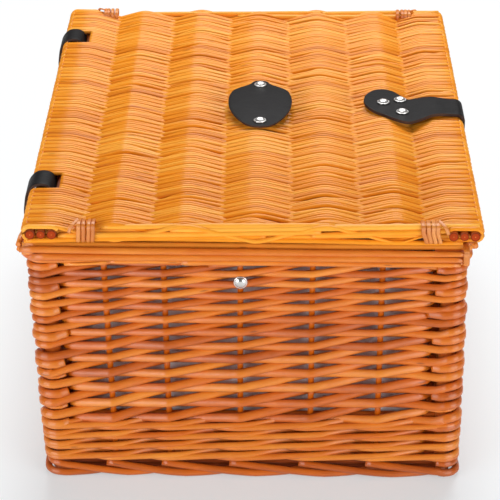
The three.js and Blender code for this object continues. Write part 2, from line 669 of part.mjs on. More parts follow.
const tailFlat = frontPlate(tailShape(), tailInnerY, LEATHER_THICKNESS);
const tailRoll = rod(
  new THREE.Vector3(STRAP_SHIFT - STRAP_WIDTH / 2, tailAxisY, tailAxisZ),
  new THREE.Vector3(STRAP_SHIFT + STRAP_WIDTH / 2, tailAxisY, tailAxisZ),
  LEATHER_THICKNESS,
  12,
);
addPiece("strap_tail", join([tailFlat, tailRoll]), "leather");

const eyeletShape = slotPath(new THREE.Shape(), EYELET_RIM);
eyeletShape.holes.push(slotPath(new THREE.Path(), 0));
addPiece("strap_eyelet", frontPlate(eyeletShape, tailOuterY - SEAT_GAP, EYELET_THICKNESS), "nickel");

// The turn lock on the front wall: base plate, turning button and two rivets.
const frontWall = walls[2];
const plateBackY = wallFace(frontWall, lockHeight + LOCK_PLATE_HEIGHT / 2) - SEAT_GAP;
const plateFrontY = plateBackY - LOCK_PLATE_THICKNESS;
const lockMiddle = new THREE.Vector3(STRAP_SHIFT, plateFrontY, lockHeight);
const lockRivetPlaces = wallRivetPlaces(frontWall).map(
  (place) => new THREE.Vector3(place.x, plateFrontY - SEAT_GAP, place.z),
);
const lockRivetShank = LOCK_PLATE_THICKNESS + SEAT_GAP + RIVET_BITE;

function lockPlateShape() {
  const halfPlate = new THREE.Vector2(LOCK_PLATE_WIDTH, LOCK_PLATE_HEIGHT).multiplyScalar(0.5);
  const shape = new THREE.Shape();
  shape.absellipse(STRAP_SHIFT, lockHeight, halfPlate.x, halfPlate.y, 0, 2 * Math.PI);
  return shape;
}

const lockPlate = frontPlate(lockPlateShape(), plateBackY, LOCK_PLATE_THICKNESS);
const lockHoles = lockRivetPlaces.map((place) => rivetHole(place, frontward, lockRivetShank));
addPiece("lock_plate", cut(lockPlate, lockHoles), "nickel");

function lockButton() {
  const base = lockMiddle.clone().addScaledVector(frontward, SEAT_GAP);
  const wingBase = base.clone().addScaledVector(frontward, LOCK_POST_LENGTH);
  const post = rod(base, wingBase.clone().addScaledVector(frontward, 1), LOCK_POST_DIAMETER, 12);
  const half = BUTTON_LENGTH / 2;
  const shape = new THREE.Shape();
  shape.absellipse(STRAP_SHIFT, lockHeight, half, BUTTON_WIDTH / 2, 0, 2 * Math.PI);
  const wing = frontPlate(shape, wingBase.y, BUTTON_HEIGHT);
  return join([post, wing]);
}

addPiece("lock_button", lockButton(), "nickel");

// A ribbon of even thickness along a route in Y and Z.
function ribbonShape(points, thickness) {
  const left = [];
  const right = [];
  points.forEach((point, i) => {
    const before = points[Math.max(i - 1, 0)];
    const after = points[Math.min(i + 1, points.length - 1)];
    const along = new THREE.Vector2().subVectors(after, before).normalize();
    const reach = new THREE.Vector2(-along.y, along.x).multiplyScalar(thickness / 2);
    left.push(point.clone().add(reach));
    right.push(point.clone().sub(reach));
  });
  return new THREE.Shape([...left, ...right.reverse()]);
}

// Hinge straps: each comes up through the lid, over the side sticks and down outside the rim.
const backWall = walls[3];
const hingeSeatY = -wallFace(backWall, wallTop) + SEAT_GAP + LEATHER_THICKNESS / 2;
const hingeRivetSeat = hingeSeatY + LEATHER_THICKNESS / 2 + SEAT_GAP;
const hingeRivetShank = hingeRivetSeat + wallFace(backWall, hingeRivetHeight) + RIVET_BITE;

function hingeRoute() {
  const lipY = hingeSlotY + HINGE_SLOT_WIDTH;
  const lipRadius = HINGE_SLOT_WIDTH / 2;
  const outside = halfWidth + HINGE_BULGE;
  const overTop = lidTop + lipRadius;
  const edgeRadius = LID_THICKNESS * 0.36;
  const leaves = wallTop - LEATHER_THICKNESS;
  const lands = hingeRivetHeight + SMALL_RIVET_DIAMETER;
  const ease = (leaves - lands) / 2;
  const route = new THREE.Path();
  route.moveTo(lipY - lipRadius, lidBottom + 1);
  route.lineTo(lipY - lipRadius, lidTop);
  route.absarc(lipY, lidTop, lipRadius, Math.PI, Math.PI / 2, true);
  route.lineTo(outside - edgeRadius, overTop);
  route.absarc(outside - edgeRadius, overTop - edgeRadius, edgeRadius, Math.PI / 2, 0, true);
  route.lineTo(outside, leaves);
  route.bezierCurveTo(outside, leaves - ease, hingeSeatY, lands + ease, hingeSeatY, lands);
  route.lineTo(hingeSeatY, BASKET_HEIGHT - HINGE_DROP);
  return route.getPoints(6);
}

hingeMiddles.forEach((x, i) => {
  const place = new THREE.Vector3(x, hingeRivetSeat, hingeRivetHeight);
  const strap = acrossStrip(ribbonShape(hingeRoute(), LEATHER_THICKNESS), x, HINGE_STRAP_WIDTH);
  addPiece(`hinge_strap_${i + 1}`, cut(strap, [rivetHole(place, backward, hingeRivetShank)]), "leather");
  addPiece(`hinge_rivet_${i + 1}`, rivet(place, backward, SMALL_RIVET_DIAMETER, hingeRivetShank), "nickel");
});

// The remaining rivets.
patchRivetPlaces.forEach((place, i) => {
  addPiece(`patch_rivet_${i + 1}`, rivet(place, up, RIVET_DIAMETER, lidRivetShank), "nickel");
});
padRivetPlaces.forEach((place, i) => {
  addPiece(`strap_rivet_${i + 1}`, rivet(place, up, RIVET_DIAMETER, lidRivetShank), "nickel");
});
lockRivetPlaces.forEach((place, i) => {
  addPiece(`lock_rivet_${i + 1}`, rivet(place, frontward, SMALL_RIVET_DIAMETER, lockRivetShank), "nickel");
});
for (const [end, sign] of [["near", -1], ["far", 1]]) {
  const face = -wallFace(walls[0], endRivetHeight) + SEAT_GAP;
  const outward = new THREE.Vector3(sign, 0, 0);
  const place = new THREE.Vector3(sign * face, sign * END_STAKE_SHIFT, endRivetHeight);
  addPiece(`end_rivet_${end}`, rivet(place, outward, RIVET_DIAMETER, RIVET_BITE + SEAT_GAP), "nickel");
}

export default basket;
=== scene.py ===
import logging
import math
from dataclasses import dataclass, field
from enum import Enum
from typing import Callable, Sequence, Union

import bpy
import numpy as np
from mathutils import Matrix, Vector


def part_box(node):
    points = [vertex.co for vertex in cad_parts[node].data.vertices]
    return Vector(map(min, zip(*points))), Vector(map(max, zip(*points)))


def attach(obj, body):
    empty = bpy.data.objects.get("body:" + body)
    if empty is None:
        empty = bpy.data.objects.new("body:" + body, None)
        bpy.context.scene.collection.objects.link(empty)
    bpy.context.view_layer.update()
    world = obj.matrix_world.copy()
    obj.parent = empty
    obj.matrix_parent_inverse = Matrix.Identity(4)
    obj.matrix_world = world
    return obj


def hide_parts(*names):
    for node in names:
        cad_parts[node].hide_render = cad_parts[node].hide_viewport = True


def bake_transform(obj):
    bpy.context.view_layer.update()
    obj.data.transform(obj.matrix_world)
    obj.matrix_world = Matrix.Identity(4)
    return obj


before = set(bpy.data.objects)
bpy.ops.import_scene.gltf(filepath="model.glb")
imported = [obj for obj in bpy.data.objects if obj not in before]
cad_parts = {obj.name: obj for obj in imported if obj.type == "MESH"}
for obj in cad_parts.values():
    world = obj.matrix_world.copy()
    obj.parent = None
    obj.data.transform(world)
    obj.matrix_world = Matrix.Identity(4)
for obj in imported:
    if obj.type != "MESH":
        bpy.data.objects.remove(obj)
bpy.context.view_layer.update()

# The willow, leather, metal and cloth of a picnic basket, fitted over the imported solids.
# Sizes in the classes are millimetres, those of the studio metres; meshes are made in metres.

log = logging.getLogger("picnic_basket")
MM = 0.001
UP = (0, 0, 1)
SIDES = ("near_end", "far_end", "front", "back")
QUARTER = math.pi / 2
Array = np.ndarray
Colour = tuple[float, float, float, float]
Screen = tuple[int, int, int]
Span = tuple[float, float]
Piece = bpy.types.Object
Socket = bpy.types.NodeSocket
Value = Union[Socket, float]


def screen_colour(screen: Screen) -> Colour:
    """Turns a colour as seen on a screen into shader values.

    Args:
        screen: Red, green and blue from 0 to 255.

    Returns:
        The linear colour with full opacity.
    """
    def level(value: int) -> float:
        """Gives one channel as linear light."""
        share = value / 255
        return share / 12.92 if share <= 0.04045 else ((share + 0.055) / 1.055) ** 2.4
    return (*map(level, screen), 1.0)


@dataclass(frozen=True)
class Box:
    """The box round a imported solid, in millimetres."""
    low: Array
    high: Array

    @property
    def middle(self) -> Array:
        """Middle of the box."""
        return (self.low + self.high) / 2

    @property
    def size(self) -> Array:
        """Length of the box along each axis."""
        return self.high - self.low


def node_box(name: str) -> Box:
    """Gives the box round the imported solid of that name."""
    low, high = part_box(name)
    return Box(np.array(low) / MM, np.array(high) / MM)


class Body(str, Enum):
    """Moving bodies of the basket."""
    BASKET = "basket"
    LID = "lid"
    TAIL = "strap_tail"
    BUTTON = "lock_button"


class Slot(str, Enum):
    """Material slots of the record."""
    LID = "lid_willow"
    WALL = "wall_willow"
    STICK = "stick"
    SPLIT = "split_willow"
    LEATHER = "black_leather"
    NICKEL = "nickel"
    LINING = "grey_lining"


def settle(piece: Piece, body: Body, slot: Slot, *nodes: str) -> None:
    """Makes a finished piece ride on its body and stand for its solids.

    Args:
        piece: The finished object.
        body: The body it moves with.
        slot: The record's finish for it; not used.
        *nodes: Solids that it replaces.
    """
    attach(piece, body.value)
    if nodes:
        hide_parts(*nodes)
    log.info("%s: %d faces on %s", piece.name, len(piece.data.polygons), body.value)


class NodeSheet:
    """A material's node tree, with short calls for what the finishes share."""

    def __init__(self, name: str) -> None:
        """Starts a material with one main shader.

        Args:
            name: Name of the material.
        """
        self.material = bpy.data.materials.new(name)
        self.material.use_nodes = True
        self.tree = self.material.node_tree
        self.shader = self.tree.nodes["Principled BSDF"]

    def add(self, kind: str, **settings: object) -> bpy.types.Node:
        """Adds a node and sets its options.

        Args:
            kind: Blender's name of the node type.
            **settings: Options of the node.

        Returns:
            The node.
        """
        node = self.tree.nodes.new(kind)
        for key, value in settings.items():
            setattr(node, key, value)
        return node

    def feed(self, value: Value, target: Socket) -> None:
        """Links an output to an input, or sets the input to a plain value.

        Args:
            value: The output or the plain value.
            target: The input.
        """
        if isinstance(value, Socket):
            self.tree.links.new(value, target)
        else:
            target.default_value = value

    def shade(self, **values: Value) -> None:
        """Feeds inputs of the main shader, named with underlines in place of spaces."""
        for name, value in values.items():
            self.feed(value, self.shader.inputs[name.replace("_", " ")])

    def math(self, operation: str, *values: Value) -> Socket:
        """Works out one value from others.

        Args:
            operation: Blender's name of the operation.
            *values: What it works on, in order.

        Returns:
            The result.
        """
        node = self.add("ShaderNodeMath", operation=operation)
        for value, target in zip(values, node.inputs):
            self.feed(value, target)
        return node.outputs[0]

    def scaled(self, source: Socket, scale: Sequence[float]) -> Socket:
        """Stretches coordinates.

        Args:
            source: The coordinates.
            scale: Factor along each axis.

        Returns:
            The stretched coordinates.
        """
        mapping = self.add("ShaderNodeMapping")
        self.feed(scale, mapping.inputs["Scale"])
        self.feed(source, mapping.inputs["Vector"])
        return mapping.outputs["Vector"]

    def flat_map(self, name: str) -> Socket:
        """Gives a piece's own flat coordinates, such as those round and along each rod."""
        return self.add("ShaderNodeUVMap", uv_map=name).outputs["UV"]

    def place(self) -> Socket:
        """Gives the object's own coordinates."""
        return self.add("ShaderNodeTexCoord").outputs["Object"]

    def noise(self, vector: Socket, scale: float = 1.0, detail: float = 2.0) -> Socket:
        """Adds soft noise.

        Args:
            vector: Coordinates to read.
            scale: Fineness.
            detail: Number of finer layers.

        Returns:
            The noise from 0 to 1.
        """
        node = self.add("ShaderNodeTexNoise")
        for name, value in (("Scale", scale), ("Detail", detail), ("Vector", vector)):
            self.feed(value, node.inputs[name])
        return node.outputs["Fac"]

    def sum_of(self, *parts: tuple[Socket, float]) -> Socket:
        """Adds values, each with its weight.

        Args:
            *parts: Values and weights.

        Returns:
            The weighted sum.
        """
        total: Value = 0.0
        for value, weight in parts:
            total = self.math("MULTIPLY_ADD", value, weight, total)
        return total

    def spread(self, value: Socket, old: Span, new: Span) -> Socket:
        """Moves a value from one range to another.

        Args:
            value: The value.
            old: Range that it has.
            new: Range that it gets.

        Returns:
            The value in the new range, held inside it.
        """
        node = self.add("ShaderNodeMapRange")
        for name, number in zip(("Value", "From Min", "From Max", "To Min", "To Max"), (value, *old, *new)):
            self.feed(number, node.inputs[name])
        return node.outputs["Result"]

    def ramp(self, factor: Socket, *stops: tuple[float, Colour]) -> Socket:
        """Turns a value into colours.

        Args:
            factor: Value from 0 to 1.
            *stops: Places and their colours, in order.

        Returns:
            The colour.
        """
        node = self.add("ShaderNodeValToRGB")
        elements = node.color_ramp.elements
        while len(elements) < len(stops):
            elements.new(0.5)
        for element, (place, colour) in zip(elements, stops):
            element.position = place
            element.color = colour
        self.feed(factor, node.inputs["Fac"])
        return node.outputs["Color"]

    def tones(self, factor: Socket, *stops: tuple[float, Screen]) -> Socket:
        """Turns a value into colours that are given as seen on a screen."""
        return self.ramp(factor, *[(place, screen_colour(screen)) for place, screen in stops])

    def over(self, mask: Socket, below: Socket, colour: Colour) -> Socket:
        """Lays a colour over another where a mask is high.

        Args:
            mask: Share of the upper colour.
            below: Colour below.
            colour: Colour on top.

        Returns:
            The mixed colour.
        """
        node = self.add("ShaderNodeMix", data_type="RGBA")
        for value, index in ((mask, 0), (below, 6), (colour, 7)):
            self.feed(value, node.inputs[index])
        return node.outputs[2]

    def relief(self, height: Socket, strength: float, depth: float) -> None:
        """Bumps the surface by a height.

        Args:
            height: Height from 0 to 1.
            strength: Share of the effect.
            depth: Depth of the bump in metres.
        """
        node = self.add("ShaderNodeBump")
        for name, value in (("Strength", strength), ("Distance", depth), ("Height", height)):
            self.feed(value, node.inputs[name])
        self.shade(Normal=node.outputs["Normal"])

    def spots(self, vector: Socket, size: float, rarity: float) -> Socket:
        """Scatters small soft spots.

        Args:
            vector: Coordinates, one cell per unit.
            size: Radius of a spot as a share of its cell.
            rarity: Share of the cells that stay empty.

        Returns:
            A mask that is high inside the spots.
        """
        cells = self.add("ShaderNodeTexVoronoi", voronoi_dimensions="2D")
        self.feed(1.0, cells.inputs["Scale"])
        self.feed(vector, cells.inputs["Vector"])
        near = self.spread(cells.outputs["Distance"], (size * 0.35, size), (1.0, 0.0))
        split = self.add("ShaderNodeSeparateColor")
        self.feed(cells.outputs["Color"], split.inputs["Color"])
        chosen = self.spread(split.outputs[0], (rarity, rarity + 0.02), (0.0, 1.0))
        return self.math("MULTIPLY", near, chosen)


@dataclass(frozen=True)
class WillowFinish:
    """Varnished willow: every rod has its own tone, long fibres, small knots and a soft shine."""
    name: str
    dark: Screen
    middle: Screen
    pale: Screen
    shine: float = 0.36
    gloss: float = 0.85
    streak: float = 0.9
    fibre_scale: Sequence[float] = (14, 90, 1)
    patch_scale: Sequence[float] = (1.2, 26, 1)
    knot_scale: Sequence[float] = (2.0, 24, 1)
    bump_depth: float = 0.0004
    knot_size: float = 0.1
    knot_rarity: float = 0.92
    knot_shade: float = 0.4

    def material(self) -> bpy.types.Material:
        """Builds the finish.

        Returns:
            Its material.
        """
        sheet = NodeSheet(self.name)
        rod = sheet.flat_map("RodMap")
        tone = sheet.add("ShaderNodeAttribute", attribute_name="rod_tint").outputs["Fac"]
        fibres = sheet.noise(sheet.scaled(rod, self.fibre_scale), detail=3.0)
        patches = sheet.noise(sheet.scaled(rod, self.patch_scale))
        mixed = sheet.sum_of((tone, 0.62), (patches, 0.36), (fibres, 0.24))
        level = sheet.spread(mixed, (0.22, 0.98), (0.0, 1.0))
        colour = sheet.tones(level, (0.0, self.dark), (0.48, self.middle), (1.0, self.pale))
        knots = sheet.spots(sheet.scaled(rod, self.knot_scale), self.knot_size, self.knot_rarity)
        brown = tuple(self.knot_shade * channel for channel in screen_colour(self.dark)[:3]) + (1.0,)
        sheet.relief(sheet.sum_of((fibres, 1.0), (knots, 0.8)), 0.22, self.bump_depth)
        tangent = sheet.add("ShaderNodeTangent", direction_type="UV_MAP", uv_map="RodMap").outputs["Tangent"]
        sheet.shade(Base_Color=sheet.over(sheet.sum_of((knots, 0.5)), colour, brown),
                    Roughness=sheet.spread(fibres, (0.25, 0.75), (self.shine - 0.06, self.shine + 0.1)),
                    Tangent=tangent, Anisotropic=self.streak, Specular_IOR_Level=self.gloss)
        return sheet.material


@dataclass(frozen=True)
class CutWillowFinish:
    """The cut end of a rod: a pale pith inside ringed wood with a darker skin."""
    name: str
    pith: Screen
    wood: Screen
    skin: Screen
    roughness: float = 0.65
    gloss: float = 0.15
    grain_scale: float = 900
    bump_depth: float = 0.0004

    def material(self) -> bpy.types.Material:
        """Builds the finish.

        Returns:
            Its material.
        """
        sheet = NodeSheet(self.name)
        split = sheet.add("ShaderNodeSeparateXYZ")
        sheet.feed(sheet.flat_map("RodMap"), split.inputs[0])
        grain = sheet.noise(sheet.scaled(sheet.place(), [self.grain_scale] * 3), detail=3.0)
        radius = sheet.sum_of((split.outputs[1], 0.92), (grain, 0.16))
        rings = ((0.12, self.pith), (0.24, self.wood), (0.8, self.wood), (1.0, self.skin))
        sheet.relief(grain, 0.4, self.bump_depth)
        sheet.shade(Base_Color=sheet.tones(radius, *rings), Roughness=self.roughness,
                    Specular_IOR_Level=self.gloss)
        return sheet.material


@dataclass(frozen=True)
class LeatherFinish:
    """Black leather with a pebbled grain and faint scuffs."""
    name: str
    base: Screen
    worn: Screen
    grain_scale: float = 900.0
    roughness: float = 0.5
    gloss: float = 0.1
    cloud_scale: float = 70.0
    scuff_scale: Sequence[float] = (260, 90, 200)
    bump_depth: float = 0.0005

    def material(self) -> bpy.types.Material:
        """Builds the finish.

        Returns:
            Its material.
        """
        sheet = NodeSheet(self.name)
        place = sheet.place()
        cells = sheet.add("ShaderNodeTexVoronoi", feature="SMOOTH_F1")
        sheet.feed(self.grain_scale, cells.inputs["Scale"])
        sheet.feed(place, cells.inputs["Vector"])
        cloud = sheet.noise(place, self.cloud_scale, 4.0)
        scuff = sheet.noise(sheet.scaled(place, self.scuff_scale), detail=3.0)
        tone = sheet.sum_of((cloud, 0.7), (scuff, 0.3))
        sheet.relief(sheet.sum_of((cells.outputs["Distance"], 0.8), (cloud, 0.5)), 0.35, self.bump_depth)
        rough = sheet.spread(tone, (0.3, 0.7), (self.roughness - 0.06, self.roughness + 0.12))
        sheet.shade(Base_Color=sheet.tones(tone, (0.3, self.base), (0.72, self.worn)), Roughness=rough,
                    Specular_IOR_Level=self.gloss)
        return sheet.material


@dataclass(frozen=True)
class NickelFinish:
    """Bright nickel plate with fine scratches."""
    name: str
    bright: Screen
    dull: Screen
    roughness: float = 0.34
    cloud_scale: float = 260.0
    scratch_scale: Sequence[float] = (300, 2600, 900)
    scratch_depth: float = 0.0002

    def material(self) -> bpy.types.Material:
        """Builds the finish.

        Returns:
            Its material.
        """
        sheet = NodeSheet(self.name)
        place = sheet.place()
        cloud = sheet.noise(place, self.cloud_scale, 3.0)
        lines = sheet.noise(sheet.scaled(place, self.scratch_scale))
        rough = sheet.spread(lines, (0.3, 0.7), (self.roughness - 0.05, self.roughness + 0.07))
        sheet.relief(lines, 0.05, self.scratch_depth)
        sheet.shade(Base_Color=sheet.tones(cloud, (0.35, self.dull), (0.65, self.bright)), Roughness=rough,
                    Metallic=1.0)
        return sheet.material


@dataclass(frozen=True)
class ClothFinish:
    """Plain woven cotton: fine crossed threads, slubs and a soft nap."""
    name: str
    shade: Screen
    light: Screen
    threads: float = 1500.0
    wobble: float = 0.6
    roughness: float = 0.9
    nap: float = 0.15
    slub_scale: Sequence[float] = (90, 700, 1)
    cloud_scale: float = 18.0
    thread_depth: float = 0.0004

    def material(self) -> bpy.types.Material:
        """Builds the finish.

        Returns:
            Its material.
        """
        sheet = NodeSheet(self.name)
        cloth = sheet.flat_map("ClothMap")
        weave = []
        for direction in ("X", "Y"):
            wave = sheet.add("ShaderNodeTexWave", bands_direction=direction)
            sheet.feed(self.threads / 6.283, wave.inputs["Scale"])
            sheet.feed(self.wobble, wave.inputs["Distortion"])
            sheet.feed(cloth, wave.inputs["Vector"])
            weave.append(wave.outputs["Fac"])
        slubs = sheet.noise(sheet.scaled(cloth, self.slub_scale), detail=3.0)
        cloud = sheet.noise(cloth, self.cloud_scale, 3.0)
        threads = sheet.math("MULTIPLY", *weave)
        tone = sheet.sum_of((threads, 0.3), (slubs, 0.35), (cloud, 0.4))
        sheet.relief(sheet.sum_of((threads, 0.6), (slubs, 0.4)), 0.3, self.thread_depth)
        sheet.shade(Base_Color=sheet.tones(tone, (0.25, self.shade), (0.75, self.light)),
                    Roughness=self.roughness, Sheen_Weight=self.nap)
        return sheet.material


class Palette:
    """All finishes of the basket, made once."""

    def __init__(self) -> None:
        """Builds every material."""
        self.wall = WillowFinish("wall_willow", (148, 58, 2), (208, 102, 10), (238, 150, 48)).material()
        self.lid = WillowFinish("lid_willow", (202, 108, 12), (240, 148, 30), (251, 182, 74),
                                gloss=0.3).material()
        self.stick = WillowFinish("stick_willow", (112, 42, 8), (172, 78, 20), (214, 122, 48)).material()
        self.split = WillowFinish("split_willow", (166, 80, 18), (208, 118, 40), (234, 156, 76),
                                  shine=0.46).material()
        self.cut = CutWillowFinish("cut_willow", (250, 206, 150), (236, 150, 80), (190, 96, 38)).material()
        self.stick_end = CutWillowFinish("cut_stick", (226, 130, 60), (164, 55, 4), (84, 22, 2)).material()
        self.leather = LeatherFinish("black_leather", (11, 9, 10), (27, 24, 25)).material()
        self.raw_edge = LeatherFinish("leather_edge", (50, 38, 34), (84, 66, 58), 2000.0, 0.7).material()
        self.nickel = NickelFinish("nickel", (226, 224, 222), (204, 201, 198)).material()
        self.polished = NickelFinish("polished_nickel", (232, 230, 228), (214, 211, 208), 0.12).material()
        self.lining = ClothFinish("grey_lining", (228, 213, 213), (246, 236, 236)).material()


class RodWork:
    """Gathers bent rods and makes one piece of them."""

    PATTERN = (0, 9)

    def __init__(self, name: str, rng: np.random.Generator, sides: int = 7) -> None:
        """Starts an empty bundle of rods.

        Args:
            name: Name of the finished piece.
            rng: Source of each rod's tone and of its part of the pattern.
            sides: Faces round each rod.
        """
        self.name = name
        self.rng = rng
        self.sides = sides
        self.points: list[Array] = []
        self.tints: list[Array] = []
        self.quads: list[Array] = []
        self.quad_maps: list[Array] = []
        self.fans: list[Array] = []
        self.fan_maps: list[Array] = []
        self.count = 0

    def add(self, path: Array, radius: Union[float, Array], facing: Union[Sequence[float], Array],
            tone: Union[float, Span], flat: float = 1.0, shifted: bool = True) -> None:
        """Adds one rod along a path.

        Args:
            path: Points of the middle line, in millimetres.
            radius: Half width, one number or one for each point.
            facing: Direction of the thin side, one for the rod or one for each point.
            tone: Tone of the rod from 0, dark, to 1, pale, or the range to draw it from.
            flat: Thickness as a share of the width.
            shifted: Starts the pattern along the rod at a place of its own.
        """
        tint = self.rng.uniform(*tone) if isinstance(tone, tuple) else tone
        start = self.rng.uniform(*self.PATTERN) if shifted else 0.0
        path = np.asarray(path, float)
        steps = len(path)
        sides = self.sides
        along = np.gradient(path, axis=0)
        along /= np.linalg.norm(along, axis=1, keepdims=True)
        face = np.broadcast_to(np.asarray(facing, float), path.shape)
        face = face - (face * along).sum(1, keepdims=True) * along
        face = face / np.linalg.norm(face, axis=1, keepdims=True)
        across = np.cross(along, face)
        width = np.broadcast_to(np.asarray(radius, float), (steps,))[:, None, None]
        here = np.arange(sides)
        after = (here + 1) % sides
        turn = math.pi + 2 * math.pi * here / sides
        ring = flat * np.cos(turn)[None, :, None] * face[:, None, :]
        ring = ring + np.sin(turn)[None, :, None] * across[:, None, :]
        shell = (path[:, None, :] + width * ring).reshape(-1, 3)
        length = path_lengths(path) * MM + start

        # Faces along the rod, with the share round it and the length along it as their map.
        near = np.arange(steps - 1)[:, None] * sides
        quads = np.stack([near + here, near + after, near + sides + after, near + sides + here], -1)
        low, high, back, front = np.broadcast_arrays(here / sides, (here + 1) / sides, length[:-1, None],
                                                     length[1:, None])
        maps = np.stack([low, back, high, back, high, front, low, front], -1).reshape(-1, 4, 2)

        # A fan of triangles over each cut end, with the share of the radius as its map.
        first = steps * sides
        last = (steps - 1) * sides
        opening = np.stack([np.full(sides, first), after, here], -1)
        closing = np.stack([np.full(sides, first + 1), last + here, last + after], -1)
        rim = np.ones(sides)
        spoke = np.stack([0.5 * rim, 0 * rim, here / sides, rim, (here + 1) / sides, rim], -1)
        spoke = spoke.reshape(-1, 3, 2)
        self.points.append(np.concatenate([shell, path[:1], path[-1:]]))
        self.tints.append(np.full(first + 2, tint))
        self.quads.append(quads.reshape(-1, 4) + self.count)
        self.quad_maps.append(maps)
        self.fans.append(np.concatenate([opening, closing]) + self.count)
        self.fan_maps.append(np.concatenate([spoke, spoke]))
        self.count += first + 2

    def build(self, finish: bpy.types.Material, cut: bpy.types.Material, body: Body, slot: Slot,
              *nodes: str) -> None:
        """Makes the piece and settles it.

        Args:
            finish: Finish along the rods.
            cut: Finish of the cut ends.
            body: The body it moves with.
            slot: The record's finish for it.
            *nodes: Solids that it replaces.
        """
        points = np.concatenate(self.points) * MM
        quads = np.concatenate(self.quads)
        fans = np.concatenate(self.fans)
        corners = np.concatenate([quads.ravel(), fans.ravel()])
        starts = np.concatenate([np.arange(len(quads)) * 4, quads.size + np.arange(len(fans)) * 3])
        maps = np.concatenate([part.ravel() for part in self.quad_maps + self.fan_maps])
        is_cut = np.concatenate([np.zeros(len(quads), np.int32), np.ones(len(fans), np.int32)])
        mesh = bpy.data.meshes.new(self.name)
        mesh.vertices.add(len(points))
        mesh.vertices.foreach_set("co", points.astype(np.float32).ravel())
        mesh.loops.add(len(corners))
        mesh.loops.foreach_set("vertex_index", corners.astype(np.int32))
        mesh.polygons.add(len(starts))
        mesh.polygons.foreach_set("loop_start", starts.astype(np.int32))
        mesh.polygons.foreach_set("material_index", is_cut)
        mesh.polygons.foreach_set("use_smooth", is_cut == 0)
        mesh.uv_layers.new(name="RodMap").data.foreach_set("uv", maps.astype(np.float32))
        tint = mesh.attributes.new("rod_tint", "FLOAT", "POINT")
        tint.data.foreach_set("value", np.concatenate(self.tints).astype(np.float32))
        mesh.update(calc_edges=True)
        mesh.validate()
        mesh.materials.append(finish)
        mesh.materials.append(cut)
        piece = bpy.data.objects.new(self.name, mesh)
        bpy.context.scene.collection.objects.link(piece)
        settle(piece, body, slot, *nodes)


def path_lengths(path: Array) -> Array:
    """Gives the length along a path at each of its points."""
    return np.concatenate([[0.0], np.cumsum(np.linalg.norm(np.diff(path, axis=0), axis=1))])


def between(points: Sequence[Span], places: Array) -> Array:
    """Gives the values at places on straight lines through points, each a place and its value."""
    return np.interp(places, *zip(*points))


def bent_wave(turns: Array, sharpness: float) -> Array:
    """Gives the in-and-out of a stiff rod: +1 on even stakes, -1 on odd ones, nearly straight between.

    Args:
        turns: Place along the row, counted in stakes.
        sharpness: From 0, a soft wave, to 1, straight lines with kinks.

    Returns:
        Values from -1 to 1.
    """
    return np.arcsin(sharpness * np.cos(math.pi * turns)) / math.asin(sharpness)


def wander(rng: np.random.Generator, run: Array, size: float, pace: float) -> Array:
    """Gives a smooth random drift along a run.

    Args:
        rng: Source of the random phases.
        run: Place along the run.
        size: Largest drift.
        pace: Waves per unit of the run.

    Returns:
        The drift at each place.
    """
    phases = rng.uniform(0, 2 * math.pi, 3)
    waves = [np.sin(pace * factor * run + phase) / factor for factor, phase in zip((1.0, 1.7, 2.9), phases)]
    return size * sum(waves) / 1.93


def squared(loops: Array) -> Array:
    """Gives the factor that makes a round winding hug a bundle with corners."""
    return 1 / np.maximum(np.abs(np.cos(loops)), np.abs(np.sin(loops))) ** 0.6


